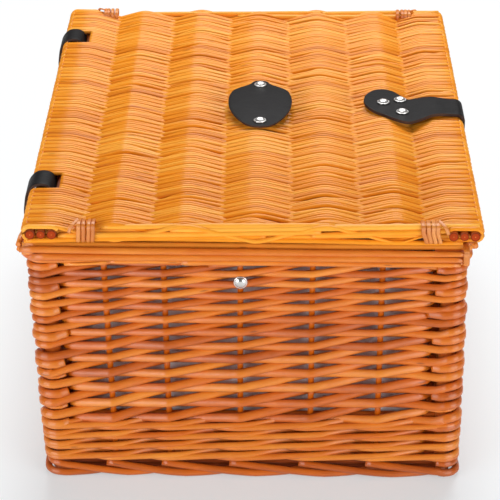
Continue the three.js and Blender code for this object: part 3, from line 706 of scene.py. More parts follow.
@dataclass
class WallLine:
    """Middle line of the walls: a rounded rectangle whose near back corner leans out at the top."""
    top_x: float
    top_y: float
    high: float
    low: float
    lean: float
    end_stakes: Sequence[float]
    side_stakes: Sequence[float]
    corner: float = 4.2
    tight: float = 3.0
    push: float = 0.0
    push_from: float = 0.7
    push_width: float = 0.27
    stops: Array = field(init=False)
    round_length: float = field(init=False)
    corners: list[int] = field(init=False)

    OUTWARD = np.array([(-1.0, 0.0), (0.0, -1.0), (1.0, 0.0), (0.0, 1.0)])
    ALONG = np.array([(0.0, -1.0), (1.0, 0.0), (0.0, 1.0), (-1.0, 0.0)])
    BEND_HALF = 0.11
    BEND = np.linspace(-BEND_HALF, BEND_HALF, 9)
    KINK = (-0.055, -0.02, 0.0, 0.02, 0.055)

    def __post_init__(self) -> None:
        """Lays out the stakes and corners along the loop."""
        bend = QUARTER * self.corner
        self.straights = [2 * (half - self.corner) for half in (self.top_y, self.top_x) * 2]
        self.starts = np.cumsum([0.0] + [length + bend for length in self.straights])
        self.round_length = float(self.starts[-1])
        stops = []
        self.corners = []
        for side in range(4):
            self.corners.append(len(stops))
            stops.append(self.starts[side] - bend / 2)
            middle = self.starts[side] + self.straights[side] / 2
            stops += [middle + u for u in (self.end_stakes if side % 2 == 0 else self.side_stakes)]
        self.stops = np.array(stops)

    @property
    def seam(self) -> float:
        """Place in the middle of the back wall where the rods of a closed round meet."""
        return (self.corners[3] + self.stakes) / 2

    @property
    def stakes(self) -> int:
        """Number of stakes and corner posts round the basket."""
        return len(self.stops)

    def inset(self, z: Array) -> Array:
        """Gives how far the walls have leaned in at a height."""
        return self.lean * (self.high - z) / (self.high - self.low)

    def run(self, turns: Array) -> Array:
        """Turns a place counted in stakes into a length along the loop.

        Args:
            turns: Place counted in stakes; whole numbers are stakes.

        Returns:
            Length from the start of the near wall, within one round.
        """
        whole = np.append(self.stops, self.stops[0] + self.round_length)
        return np.interp(np.mod(turns, self.stakes), np.arange(self.stakes + 1), whole) % self.round_length

    def point(self, turns: Array, out: Array, z: Array) -> tuple[Array, Array]:
        """Places points on the walls.

        Args:
            turns: Place along the loop, counted in stakes.
            out: Distance outwards from the middle line.
            z: Height.

        Returns:
            The points and the outward directions there.
        """
        turns, out, z = np.broadcast_arrays(np.asarray(turns, float), out, z)
        run = self.run(turns)
        side = np.clip(np.searchsorted(self.starts, run, side="right") - 1, 0, 3)
        local = run - self.starts[side]
        straight = np.array(self.straights)[side]
        round_radius = np.maximum(self.corner + out, self.tight)
        inset = self.inset(z)
        reach = np.where(side % 2 == 0, self.top_x, self.top_y) - inset + out
        width = np.where(side % 2 == 0, self.top_y, self.top_x) - inset + out
        outward, along = self.OUTWARD[side], self.ALONG[side]
        share = np.clip(local / straight, 0, 1)
        angle = np.clip((local - straight) / (QUARTER * self.corner), 0, 1) * math.pi / 2
        normal = np.cos(angle)[:, None] * outward + np.sin(angle)[:, None] * along
        middle = (reach - round_radius)[:, None] * outward
        middle = middle + ((2 * share - 1) * (width - round_radius))[:, None] * along
        flat = middle + round_radius[:, None] * normal
        return self.pushed(np.column_stack([flat, z])), np.column_stack([normal, np.zeros(len(z))])

    def pushed(self, points: Array) -> Array:
        """Leans points near the near back corner outwards, more so towards the top.

        Args:
            points: Points on the upright walls.

        Returns:
            The points where the hand-made basket has them.
        """
        near = np.clip((-points[:, 0] / self.top_x - self.push_from) / self.push_width, 0, 1)
        tall = np.clip((points[:, 2] - self.low) / (self.high - self.low), 0, 1.1)
        moved = points.copy()
        back = np.clip(points[:, 1] / self.top_y, 0, 1.1)
        moved[:, 1] += self.push * tall * near**2 * (3 - 2 * near) * back
        return moved

    def samples(self, first: float, last: float, steps: int, kinks: bool = False) -> Array:
        """Spreads places along the loop, closer together round the corners.

        Args:
            first: First place, counted in stakes.
            last: Last place.
            steps: Places between two stakes.
            kinks: Adds close places at every stake, for rods that bend sharply there.

        Returns:
            The places in order.
        """
        even = np.linspace(first, last, int((last - first) * steps) + 1)
        rounds = range(int(first // self.stakes) - 1, int(last // self.stakes) + 2)
        bends = [corner + self.stakes * turn + self.BEND for corner in self.corners for turn in rounds]
        if kinks:
            whole = np.arange(math.ceil(first), math.floor(last) + 1)
            bends += [whole + step for step in self.KINK]
        bends = np.concatenate(bends)
        bends = bends[(bends > first) & (bends < last)]
        return np.unique(np.round(np.concatenate([even, bends]), 4))

    def whole_round(self, overlap: float = 0.3, steps: int = 6) -> Array:
        """Spreads places once round the basket, past the seam by an overlap."""
        return self.samples(self.seam, self.seam + self.stakes + overlap, steps)


@dataclass(frozen=True)
class BorderRod:
    """One rod of a border: from one hand to the other as shares of the half width, with its heights."""
    start: float
    stop: float
    low: float
    high: float
    depth: float
    thick: float
    sag: float = 0.0


@dataclass
class WickerBody:
    """Walls, rim, foot and floor of the basket."""
    palette: Palette
    wall_cover: float = 4.6
    wall_lean: float = 1.0
    corner_push: float = 8.0
    corner_tuck: float = 8.0
    stake_diameter: float = 4.6
    post_diameter: float = 13.0
    stake_low: float = 8.0
    stake_drop: float = 6.0
    end_stakes: Sequence[float] = (-103.8, -62.2, -8.7, 44.1, 95.0)
    side_stakes: int = 8
    butt_diameter: float = 7.2
    tip_diameter: float = 5.1
    rows: float = 12.0
    rand_sharpness: float = 0.9985
    weave_bottom: float = 52.0
    first_pitch: float = 13.5
    last_pitch: float = 8.1
    pair_shift: float = 1.4
    packing_least: float = 2.6
    packing_most: float = 7.0
    packing_tuck: float = 26.0
    packing_bare: float = 0.16
    packing_lean: float = 5.0
    upset_diameter: float = 4.9
    upset_levels: Sequence[float] = (18.4, 27.4, 36.4, 45.0)
    upset_climb: float = 5.0
    upset_proud: float = 1.4
    backing_lifts: Sequence[float] = (0.2, 4.7)
    backing_depth: float = 5.4
    top_wale_drop: float = 4.6
    top_wale_diameter: float = 3.9
    top_wale_climb: float = 3.4
    top_wale_proud: float = 0.2
    loose_tips: int = 26
    tip_out: float = 5.0
    tip_bow: float = 2.2
    tip_rise: Span = (2, 6)
    tip_drop: float = 6.0
    rim_diameter: float = 5.2
    rim_end_gap: float = 7.0
    rim_courses: Sequence[BorderRod] = (
        BorderRod(0.975, -0.965, -5.4, -7.4, 0.0, 1.0),
        BorderRod(0.925, -0.955, -10.9, -11.9, 0.2, 1.0),
        BorderRod(0.3, -0.92, -15.8, -16.4, 1.8, 0.8),
        BorderRod(0.6, -0.3, -15.4, -15.0, 2.6, 0.7),
        BorderRod(0.965, -0.97, -4.2, -4.6, 6.0, 1.0),
        BorderRod(0.97, -0.97, -9.8, -10.0, 6.4, 1.0),
        BorderRod(0.95, -0.98, -4.4, -4.4, 12.0, 1.0),
    )
    corner_drops: Sequence[Span] = ((8.2, 7.0), (13.4, 7.6))
    corner_span: Span = (-0.32, 0.42)
    corner_rod_radius: float = 2.6
    tie_place: float = 0.943
    tie_reach: Span = (8.4, 6.6)
    tie_middle: Span = (7.6, 9.6)
    tie_half_width: float = 2.3
    tie_flat: float = 0.3
    foot_diameter: float = 5.7
    foot_courses: Sequence[Span] = ((3.6, 9.0), (9.2, 10.2), (14.6, 9.6))
    foot_course_radius: float = 3.5
    floor_stick_radius: float = 2.8
    floor_pitch: float = 4.7
    floor_swing: float = 3.4
    floor_sharpness: float = 0.95
    wale_wave: Sequence[Span] = (
        (0, 0.95), (0.15, 1), (1.0, 1), (1.5, 0.1), (2.0, -1), (2.5, -0.1), (3, 0.95))
    wale_rise: Sequence[Span] = ((0, -0.25), (1.5, 0.5), (2.5, -0.5), (3, -0.25))
    rim_taper: Sequence[Span] = ((0, 0.78), (0.03, 1), (0.8, 1), (1, 0.72))
    foot_heights: Sequence[Span] = ((-0.16, 11.8), (0.15, 10.4), (1.0, 4.0), (1.5, 3.1), (2.25, 4.6))
    foot_reaches: Sequence[Span] = (
        (-0.16, -1.6), (0.2, 0.6), (0.7, 1.0), (1.2, 1.2), (1.6, -1.5), (1.95, -6.0), (2.25, -8.0))
    rand_drift: Span = (0.35, 2.1)
    rand_lift: Span = (0.8, 1.3)
    wale_drift: Span = (0.3, 1.7)
    wale_lift: Span = (0.4, 0.9)
    rod_tones: Span = (0.2, 0.8)
    wale_tones: Span = (0.45, 0.95)
    rim_tones: Span = (0.55, 0.95)
    tip_tones: Span = (0.3, 1)
    tie_tones: Span = (0.4, 0.7)
    stake_tones: Span = (0.1, 0.5)
    post_tones: Span = (0.2, 0.5)
    # The backing rods take the darkest tones: painted shade in the gaps behind the upset.
    backing_shade_tones: Span = (0.0, 0.3)
    # The foot rods are darker than the walls: partly their own browner colour, partly painted shade near the
    # ground.
    foot_tones_and_shade: Span = (0.05, 0.45)
    seed: int = 7

    def __post_init__(self) -> None:
        """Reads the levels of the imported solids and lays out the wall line."""
        wall = node_box("wall_weave_near_end")
        rim = node_box("rim_and_stakes_near_end")
        self.rim_outer = -rim.low[0]
        self.rim_top = rim.high[2]
        self.wall_low, self.wall_high = wall.low[2], wall.high[2]
        self.rng = np.random.default_rng(self.seed)
        depth = self.stake_diameter / 2 + self.wall_cover
        top_x = -wall.low[0] - depth
        top_y = node_box("wall_weave_back").high[1] - depth
        side_pitch = 2 * top_x / (self.side_stakes + 1)
        side_stakes = [side_pitch * (i - (self.side_stakes - 1) / 2) for i in range(self.side_stakes)]
        self.line = WallLine(top_x, top_y, self.wall_high, self.wall_low, self.wall_lean, self.end_stakes,
                             side_stakes, push=self.corner_push)

    def build(self) -> None:
        """Makes every woven part of the basket."""
        self.randing()
        self.uprights()
        self.waling()
        self.rim()
        self.foot()
        self.floor()

    def bundle(self, name: str, sides: int = 7) -> RodWork:
        """Starts a bundle of rods."""
        return RodWork(name, self.rng, sides)

    def row_height(self, phase: Array) -> Array:
        """Gives the height of a weaver, rows being wider apart near the foot."""
        ease = (self.first_pitch - self.last_pitch) / (2 * self.rows)
        return self.weave_bottom + self.first_pitch * phase - ease * phase ** 2

    def near_corner(self, turns: Array, width: float) -> Array:
        """Gives 1 at a corner post and 0 away from it.

        Args:
            turns: Place along the loop, counted in stakes.
            width: How far the value reaches.

        Returns:
            Values from 0 to 1.
        """
        stakes = self.line.stakes
        away = [np.abs((turns - corner + stakes / 2) % stakes - stakes / 2) for corner in self.line.corners]
        return np.exp(-(np.min(away, axis=0) / width) ** 2)

    def swung(self, wave: Array, swing: Array, proud: float, corner: Array) -> Array:
        """Gives how far out a weaver runs, tucked behind the corner posts.

        Args:
            wave: Its in-and-out from -1 to 1.
            swing: Half thickness of stake and weaver together.
            proud: Extra distance in front of the stakes.
            corner: 1 at a corner post and 0 away from it.

        Returns:
            The distance outwards from the wall's middle line.
        """
        return np.where(wave > 0, wave * (swing + proud), wave * (swing + self.corner_tuck * corner))

    def rod_at(self, phase: Array) -> Array:
        """Gives a weaver's diameter, from its butt at the upset to its tip under the rim."""
        share = np.clip(phase / self.rows, 0, 1)
        return self.butt_diameter + (self.tip_diameter - self.butt_diameter) * share

    def randing(self) -> None:
        """Weaves the walls: one rod starts at every stake and climbs in front of one and behind the next."""
        work = self.bundle("wall_randing")
        rng = self.rng
        for starter in range(self.line.stakes):
            turns = self.line.samples(-starter - 4 / 3, 2 * self.rows - starter + 1 / 3, 8, True)
            phase = (turns + starter) / 2
            thick = self.rod_at(phase) * rng.uniform(0.92, 1.08)
            wave = bent_wave(turns + starter, self.rand_sharpness)
            corner = self.near_corner(turns, 0.3)
            out = self.swung(wave, (self.stake_diameter + thick) / 2, 0.0, corner)
            out = out + wander(rng, turns, *self.rand_drift)
            pair = np.cos(math.pi * np.round(phase)) * corner * np.clip(wave, 0, 1)
            dip = self.near_corner(turns + 0.2, 0.26) * (1 - self.near_corner(turns, 0.1))
            height = self.row_height(phase) + self.pair_shift * pair - 2.0 * dip
            height = height + wander(rng, turns, *self.rand_lift)
            path, outward = self.line.point(turns, out, height)
            ends = np.minimum(1, 0.55 + 0.45 * np.clip((self.rows + 0.1 - phase) / 0.8, 0, 1))
            work.add(path, thick / 2 * ends, outward, self.rod_tones)
        self.packing(work)
        work.build(self.palette.wall, self.palette.cut, Body.BASKET, Slot.WALL,
                   *[f"wall_weave_{side}" for side in SIDES])

    def packing(self, work: RodWork) -> None:
        """Adds the short rods that fill the corners between the long wraps.

        Args:
            work: Bundle that takes the rods.
        """
        bend = self.line.BEND_HALF
        for corner in self.line.corners:
            for row in range(-1, int(self.rows)):
                phase = row + 0.5
                wide = self.row_height(row + 1.0) - self.row_height(float(row))
                wide -= 2 * self.pair_shift * math.cos(math.pi * row) + self.rod_at(phase)
                if wide < self.packing_least:
                    continue
                thick = min(wide - 0.2, self.packing_most)
                reach = self.rng.uniform(0.24, 0.36, 2)
                turns = np.unique(np.concatenate([np.linspace(-reach[0], -bend, 6), self.line.BEND,
                                                  np.linspace(bend, reach[1], 6)]))
                swing = (self.stake_diameter + thick) / 2
                tuck = self.packing_tuck * np.clip(np.abs(turns) - self.packing_bare, 0, 1)
                height = self.row_height(phase) + self.packing_lean * turns + self.rng.uniform(-0.4, 0.4)
                out = swing - tuck - 0.3
                path, outward = self.line.point(corner + turns, out, height)
                work.add(path, thick / 2, outward, self.rod_tones)

    def uprights(self) -> None:
        """Sets the stakes and the thick corner posts."""
        stakes = self.bundle("stakes", 10)
        posts = self.bundle("corner_posts", 14)
        heights = np.linspace(self.stake_low, self.rim_top - self.stake_drop, 14)
        for index in range(self.line.stakes):
            corner = index in self.line.corners
            back = self.stake_diameter / 2 - self.post_diameter / 2 if corner else 0.0
            sway = wander(self.rng, heights / 30, 0.0 if corner else 0.5, 1.0)
            turns = np.full_like(heights, index) + (0 if corner else 0.01) * sway
            path, outward = self.line.point(turns, back + sway, heights)
            if corner:
                posts.add(path, self.post_diameter / 2, outward, self.post_tones)
            else:
                stakes.add(path, self.stake_diameter / 2, outward, self.stake_tones)
        names = [f"corner_post_{end}_{side}" for end in ("near", "far") for side in ("front", "back")]
        posts.build(self.palette.stick, self.palette.cut, Body.BASKET, Slot.STICK, *names)
        stakes.build(self.palette.wall, self.palette.cut, Body.BASKET, Slot.STICK)

    def waling(self) -> None:
        """Weaves the tight bands of three rods: the upset above the foot, and one round under the rim."""
        upset = self.bundle("upset_waling")
        rng = self.rng
        for level in self.upset_levels:
            self.wale_round(upset, level, self.upset_diameter, self.upset_climb, self.upset_proud)
            turns = self.line.whole_round()
            # Backing rods sit behind the upset in the darkest tones: painted shade in the gaps between the
            # wales.
            for lift in self.backing_lifts:
                out = wander(rng, turns, *self.wale_lift) - self.backing_depth
                path, outward = self.line.point(turns, out, level + lift)
                upset.add(path, self.upset_diameter / 2, outward, self.backing_shade_tones)
        upset.build(self.palette.wall, self.palette.cut, Body.BASKET, Slot.WALL)
        top = self.bundle("top_waling")
        level = self.wall_high - self.top_wale_drop
        self.wale_round(top, level, self.top_wale_diameter, self.top_wale_climb, self.top_wale_proud)
        for _ in range(self.loose_tips):
            first = rng.uniform(0, self.line.stakes)
            turns = self.line.samples(first, first + rng.uniform(0.4, 0.9), 9)
            share = np.linspace(0, 1, len(turns))
            out = self.tip_out + self.tip_bow * np.sin(math.pi * share)
            rise = rng.choice([-1, 1]) * rng.uniform(*self.tip_rise)
            path, outward = self.line.point(turns, out, self.wall_high - self.tip_drop + rise * (share - 0.5))
            top.add(path, rng.uniform(1.0, 1.8) * (1 - 0.5 * share), outward, self.tip_tones)
        top.build(self.palette.wall, self.palette.cut, Body.BASKET, Slot.WALL)

    def wale_round(self, work: RodWork, level: float, thick: float, climb: float, proud: float) -> None:
        """Adds one round of waling: three rods, each in front of two stakes and behind the third.

        Each rod starts and stops behind a stake of the back wall, so that no end shows.

        Args:
            work: Bundle that takes the rods.
            level: Height of the round's middle.
            thick: Diameter of the rods.
            climb: How far each rod climbs in front.
            proud: Extra distance outwards.
        """
        rng = self.rng
        first = rng.integers(0, 3)
        starts = [self.line.seam + (2 - self.line.seam - rod - first) % 3 for rod in range(3)]
        for rod in range(3):
            stop = starts[(rod + self.line.stakes) % 3] + self.line.stakes - 0.02
            turns = self.line.samples(starts[rod], stop, 10)
            beat = np.mod(turns + rod + first, 3)
            wave = np.sin(QUARTER * between(self.wale_wave, beat))
            out = self.swung(wave, (self.stake_diameter + thick) / 2, proud, self.near_corner(turns, 0.3))
            out = out + wander(rng, turns, *self.wale_drift)
            height = level + climb * between(self.wale_rise, beat) + wander(rng, turns, *self.wale_lift)
            path, outward = self.line.point(turns, out, height)
            swell = thick / 2 * rng.uniform(0.92, 1.06) * (1 + wander(rng, turns, 0.07, 0.8))
            work.add(path, swell, outward, self.wale_tones)

    def rim(self) -> None:
        """Lays the rods of the rim along each side, and a split-willow tie at each end."""
        rods = self.bundle("rim_rods", 10)
        ties = self.bundle("rim_ties", 8)
        rng = self.rng
        side_outer = node_box("rim_and_stakes_back").high[1]
        share = np.linspace(0, 1, 34)
        taper = between(self.rim_taper, share)
        for side in range(4):
            outward = np.append(self.line.OUTWARD[side], 0.0)
            along = np.append(self.line.ALONG[side], 0.0)
            face = self.rim_outer if side % 2 == 0 else side_outer
            half = side_outer if side % 2 == 0 else self.rim_outer - self.rim_end_gap
            for rod in self.rim_courses:
                run = rod.start + (rod.stop - rod.start) * share
                radius = self.rim_diameter / 2 * rod.thick * rng.uniform(0.95, 1.03) * taper
                depth = face - rod.depth - radius + wander(rng, run * 3, 0.35, 1.0)
                height = self.rim_top + rod.low + (rod.high - rod.low) * share
                path = depth[:, None] * outward - (half * run)[:, None] * along
                path[:, 2] = height + wander(rng, run * 3, 0.45, 1.0)
                rods.add(self.line.pushed(path), radius, outward, self.rim_tones)
            if side % 2 == 0:
                self.tie(ties, face * outward + self.tie_place * half * along, outward)
        for corner in self.line.corners:
            for drop, out in self.corner_drops:
                turns = self.line.samples(corner + self.corner_span[0], corner + self.corner_span[1], 12)
                path, outward = self.line.point(turns, np.full_like(turns, out), self.rim_top - drop)
                rods.add(path, self.corner_rod_radius, outward, self.stake_tones)
        rods.build(self.palette.wall, self.palette.cut, Body.BASKET, Slot.STICK,
                   *[f"rim_and_stakes_{side}" for side in SIDES])
        ties.build(self.palette.split, self.palette.cut, Body.BASKET, Slot.SPLIT)

    def tie(self, ties: RodWork, place: Array, outward: Array) -> None:
        """Wraps one tie of flat split willow round the rim.

        Args:
            ties: Bundle that takes the tie.
            place: Where it is on the rim's outer face.
            outward: Direction away from the basket.
        """
        loops = np.linspace(0, 2.2 * math.pi, 44)
        squeeze = squared(loops)
        rise = np.array([0, 0, 1.0])
        path = place + (self.tie_reach[0] * np.cos(loops) * squeeze - self.tie_middle[0])[:, None] * outward
        lift = self.rim_top - self.tie_middle[1] + self.tie_reach[1] * np.sin(loops) * squeeze
        path = path + lift[:, None] * rise
        facing = np.cos(loops)[:, None] * outward + np.sin(loops)[:, None] * rise
        ties.add(self.line.pushed(path), self.tie_half_width, facing, self.tie_tones, self.tie_flat)

    def foot(self) -> None:
        """Rolls the foot border: each rod starts beside a stake, slopes down and tucks under the next."""
        work = self.bundle("foot_border", 9)
        rng = self.rng
        outer = -node_box("foot_near_end").low[0]
        reach = outer - (self.line.top_x - self.line.lean) - self.foot_diameter / 2
        for stake in range(self.line.stakes):
            turns = self.line.samples(stake + self.foot_heights[0][0], stake + self.foot_heights[-1][0], 9)
            height = between(self.foot_heights, turns - stake) + rng.uniform(-0.2, 0.5)
            out = between(self.foot_reaches, turns - stake) + reach
            path, outward = self.line.point(turns, out, height)
            path[:, 2] = np.convolve(np.pad(path[:, 2], 3, mode="edge"), np.ones(7) / 7, mode="valid")
            # Darker tones on the foot rods: partly their own brown, partly painted shade near the ground.
            work.add(path, self.foot_diameter * rng.uniform(0.9, 1.04) / 2, outward, self.foot_tones_and_shade)
        # The inner courses take the darkest stick tones: painted shade in the gap between the upset and the
        # foot, on rods that tuck in behind the border.
        inner = self.bundle("foot_inner_courses", 8)
        for level, depth in self.foot_courses:
            turns = self.line.whole_round()
            path, outward = self.line.point(turns, reach - depth + wander(rng, turns, 0.5, 0.9), level)
            inner.add(path, self.foot_course_radius, outward, (0.0, 0.2))
        inner.build(self.palette.stick, self.palette.cut, Body.BASKET, Slot.STICK)
        work.build(self.palette.wall, self.palette.cut, Body.BASKET, Slot.STICK,
                   *[f"foot_{side}" for side in SIDES])

    def floor(self) -> None:
        """Weaves the floor over its lengthwise sticks."""
        rng = self.rng
        box = node_box("floor_weave")
        low, high, middle = box.low, box.high, box.middle[2]
        sticks = self.bundle("floor_sticks", 8)
        rods = self.bundle("floor_rods", 6)
        names = [f"floor_stick_{i}" for i in (1, 2, 3)]
        places = [node_box(name).middle[1] for name in names]
        for y in places:
            path = np.array([(x, y, middle) for x in np.linspace(low[0] + 1, high[0] - 1, 12)])
            sticks.add(path, self.floor_stick_radius, UP, (0.2, 0.6), shifted=False)
        spacing = abs(places[1] - places[0])
        count = int((high[0] - low[0]) / self.floor_pitch)
        across = np.linspace(low[1] + 1, high[1] - 1, 41)
        for index in range(count):
            x = low[0] + (index + 0.5) * (high[0] - low[0]) / count
            wave = bent_wave((across - places[1]) / spacing + index, self.floor_sharpness)
            drift = wander(rng, across / 60, 0.4, 1.0)
            path = np.column_stack([x + drift, across, middle + self.floor_swing * wave])
            rods.add(path, rng.uniform(1.8, 2.3), UP, self.rod_tones)
        rods.build(self.palette.wall, self.palette.cut, Body.BASKET, Slot.WALL, "floor_weave")
        sticks.build(self.palette.stick, self.palette.cut, Body.BASKET, Slot.STICK, *names)


@dataclass
class WovenLid:
    """The lid: pairs of thin rods woven across five ribs and two bundles of side sticks."""
    palette: Palette
    band_pitch: float = 3.7
    rod_diameter: float = 3.5
    rod_swell: Span = (1.02, 1.18)
    weave_past: float = 7.6
    hill_gap: float = 0.15
    band_sharpness: float = 0.96
    band_shares: Sequence[float] = (0.0, 0.05, 0.12, 0.24, 0.5, 0.76, 0.88, 0.95)
    band_tones: Span = (0.25, 0.75)
    loose_shares: Sequence[float] = (0, 0.6, 0.92)
    loose_odds: Sequence[float] = (0.64, 0.18, 0.18)
    slot_gap: float = 0.9
    whip_spacing: float = 0.92
    border_diameter: float = 4.3
    border_sag: float = 1.1
    border_taper: Sequence[Span] = ((0, 0.8), (0.1, 1), (0.85, 1), (1, 0.75))
    border_tones: Span = (0.35, 0.95)
    whip_tones: Span = (0.3, 0.9)
    stick_tones: Span = (0.1, 0.5)
    rib_tones: Span = (0.2, 0.6)
    lashing_tones: Span = (0.4, 0.9)
    tail_tones: Span = (0.5, 0.9)
    tail_out: Sequence[Span] = ((0, -0.6), (0.6, 0.9), (1, 1.15))
    tail_along: Sequence[Span] = ((0, 5.5), (0.6, 10.5), (1, 12.5))
    tail_up: Sequence[Span] = ((0, 1.1), (0.6, 0.86), (1, 0.2))
    lashing_strands: int = 4
    lashing_pitch: float = 3.5
    lashing_flat: float = 0.5
    tail_radius: float = 1.3
    lashing_shifts: dict[str, float] = field(default_factory=lambda: {
        "lid_lashing_near_front": -1.0, "lid_lashing_near_back": -7.6,
        "lid_lashing_far_front": -4.6, "lid_lashing_far_back": 3.0})
    border_rods: Sequence[BorderRod] = (
        BorderRod(1.0, -0.06, -6.6, -2.2, 0.6, 1.0),
        BorderRod(0.85, -0.3, -2.2, 1.2, 0.4, 1.0),
        BorderRod(0.66, -0.36, 3.6, 6.0, 2.6, 0.95),
        BorderRod(0.36, -0.99, 1.9, 6.6, 1.2, 1.1),
        BorderRod(-0.26, -0.87, -1.4, 3.0, 0.2, 1.05),
        BorderRod(0.58, -0.92, -5.0, -7.6, 1.4, 0.9, 0.6),
        BorderRod(0.05, -1.0, -3.4, -1.4, 2.4, 0.85),
        BorderRod(0.97, 0.2, -1.0, 1.0, 4.6, 0.9),
        BorderRod(0.1, -0.9, 3.2, 3.6, 5.4, 0.95),
    )
    seed: int = 21

    def __post_init__(self) -> None:
        """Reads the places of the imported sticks, ribs and hinge straps."""
        box = node_box("lid_weave")
        self.half_length, self.half_width = box.high[:2]
        self.middle = box.middle[2]
        self.rng = np.random.default_rng(self.seed)
        self.rib_names = [f"lid_rib_{i}" for i in range(1, 6)]
        self.ribs = [float(node_box(name).middle[1]) for name in self.rib_names]
        self.rib_diameter = node_box("lid_rib_1").size[2]
        names = [f"lid_side_stick_{side}_{i}" for side in ("front", "back") for i in (1, 2, 3)]
        self.sticks = {name: node_box(name) for name in names}
        first_stick = self.sticks["lid_side_stick_front_1"]
        self.stick_end = first_stick.high[0]
        self.wrap = first_stick.size[1] / 2 + self.rod_diameter / 2
        self.outer = abs(first_stick.middle[1])
        self.inner = abs(self.sticks["lid_side_stick_front_3"].middle[1])
        self.hill = (box.size[2] - self.rod_diameter) / 2 - self.hill_gap
        self.weave_reach = self.half_length + self.weave_past
        self.slots = [node_box(f"hinge_strap_{i}") for i in (1, 2)]

    def build(self) -> None:
        """Makes every willow part of the lid."""
        self.weave()
        self.uprights()
        self.borders()
        self.lashings()

    def profile(self, sign: float) -> Array:
        """Gives one band's line across the lid as points of width and height.

        Args:
            sign: +1 where the band starts over the front bundle, -1 where it starts under it.

        Returns:
            Points with the place across, the height, and how close the pair lies.
        """
        wrap = self.wrap + 0.2
        angles = np.radians(np.linspace(-70, 78, 6))
        front = [(-self.outer - wrap * math.cos(a), sign * wrap * math.sin(a), 0.6) for a in angles]
        stations = [(-self.inner, sign * wrap)]
        stations += [(y, -sign * self.hill * (-1) ** i) for i, y in enumerate(self.ribs)]
        stations.append((self.inner, sign * wrap))
        points = list(front)
        shares = np.array(self.band_shares)
        wave = bent_wave(shares, self.band_sharpness)
        for (y0, z0), (y1, z1) in zip(stations, stations[1:]):
            for share, level in zip(shares, wave):
                height = (z0 + z1) / 2 + level * (z0 - z1) / 2
                points.append((y0 + share * (y1 - y0), height, 0.62 + 0.38 * abs(level)))
        points.append((self.inner, sign * wrap, 1.0))
        points += [(-y, z, close) for y, z, close in reversed(front)]
        return np.array(points)

    def weave(self) -> None:
        """Weaves the bands from the near end to the far end, leaving slots for the hinge straps."""
        work = RodWork("lid_bands", self.rng, 6)
        rng = self.rng
        half = self.rod_diameter / 2
        count = int(2 * self.weave_reach / self.band_pitch)
        lines = [self.profile(sign) for sign in (1.0, -1.0)]
        for band in range(count):
            x = -self.weave_reach + (band + 0.5) * 2 * self.weave_reach / count
            across, rise, close = lines[band % 2].T
            drift = wander(rng, across / 34, 0.8, 1.0)
            lift = wander(rng, across / 30, 0.28, 1.0)
            tone = rng.uniform(*self.band_tones)
            for hand in (-1, 1):
                slack = np.exp(-((across - rng.uniform(-self.inner, self.inner)) / rng.uniform(14, 26)) ** 2)
                sunk = half * rng.choice(self.loose_shares, p=self.loose_odds) * slack
                radius = half * rng.uniform(*self.rod_swell) - sunk
                along = x + drift + hand * self.rod_diameter * 0.5 * close
                along = along + wander(rng, across / 24, 0.3, 1.0)
                path = np.column_stack([along, across, self.middle + rise + lift - sunk, radius])
                tint = np.clip(tone + rng.uniform(-0.2, 0.2), 0, 1)
                part = self.cut_at_slots(path)
                work.add(part[:, :3], part[:, 3], UP, tint)
        self.whipping(work)
        work.build(self.palette.lid, self.palette.cut, Body.LID, Slot.LID, "lid_weave")

    def cut_at_slots(self, path: Array) -> Array:
        """Ends a rod where a hinge strap goes through the lid.

        Args:
            path: Points of the rod, each with its radius.

        Returns:
            The rod, whole or without the part that the strap takes.
        """
        place = path[:, 0].mean()
        for slot in self.slots:
            if slot.low[0] - self.slot_gap < place < slot.high[0] + self.slot_gap:
                return path[path[:, 1] < self.inner + 0.5]
        return path

    def whipping(self, work: RodWork) -> None:
        """Winds the ends of the side sticks up to their cut faces.

        Args:
            work: Bundle that takes the rods.
        """
        rng = self.rng
        wrap = self.wrap + 0.1
        spacing = self.rod_diameter * self.whip_spacing
        turn = np.radians(np.linspace(20, 90, 6))
        outer = np.column_stack([self.outer + wrap * np.cos(turn), wrap * np.sin(turn)])
        turn = np.radians(np.linspace(90, 35, 5))
        inner = np.column_stack([self.inner - wrap * np.cos(turn), wrap * np.sin(turn)])
        across, rise = np.concatenate([outer, inner]).T
        count = int((self.stick_end - 1.2 - self.weave_reach) / spacing)
        for end in (-1, 1):
            for side in (-1, 1):
                away = side * (across - (self.outer + self.inner) / 2)
                facing = np.column_stack([np.zeros(len(across)), away, rise])
                for index in range(count + 1):
                    x = end * (self.weave_reach + (index + 0.3) * spacing)
                    lean = wander(rng, across / 8, 0.5, 1.0)
                    path = np.column_stack([x + lean, side * across, self.middle + rise])
                    work.add(path, self.rod_diameter / 2 * rng.uniform(0.9, 1.05), facing, self.whip_tones)

    def uprights(self) -> None:
        """Lays the side sticks and the ribs lengthwise."""
        sticks = RodWork("lid_side_sticks", self.rng, 16)
        ribs = RodWork("lid_ribs", self.rng, 8)
        rods = [(sticks, box.middle[1], box.size[1], box.high[0], self.stick_tones)
                for box in self.sticks.values()]
        rods += [(ribs, y, self.rib_diameter, self.half_length, self.rib_tones) for y in self.ribs]
        for work, y, diameter, reach, tones in rods:
            run = np.linspace(-reach, reach, 24)
            path = np.column_stack([run, np.full(24, y), np.full(24, self.middle)])
            work.add(path, diameter / 2, UP, tones)
        sticks.build(self.palette.stick, self.palette.stick_end, Body.LID, Slot.STICK, *self.sticks)
        ribs.build(self.palette.stick, self.palette.cut, Body.LID, Slot.STICK, *self.rib_names)

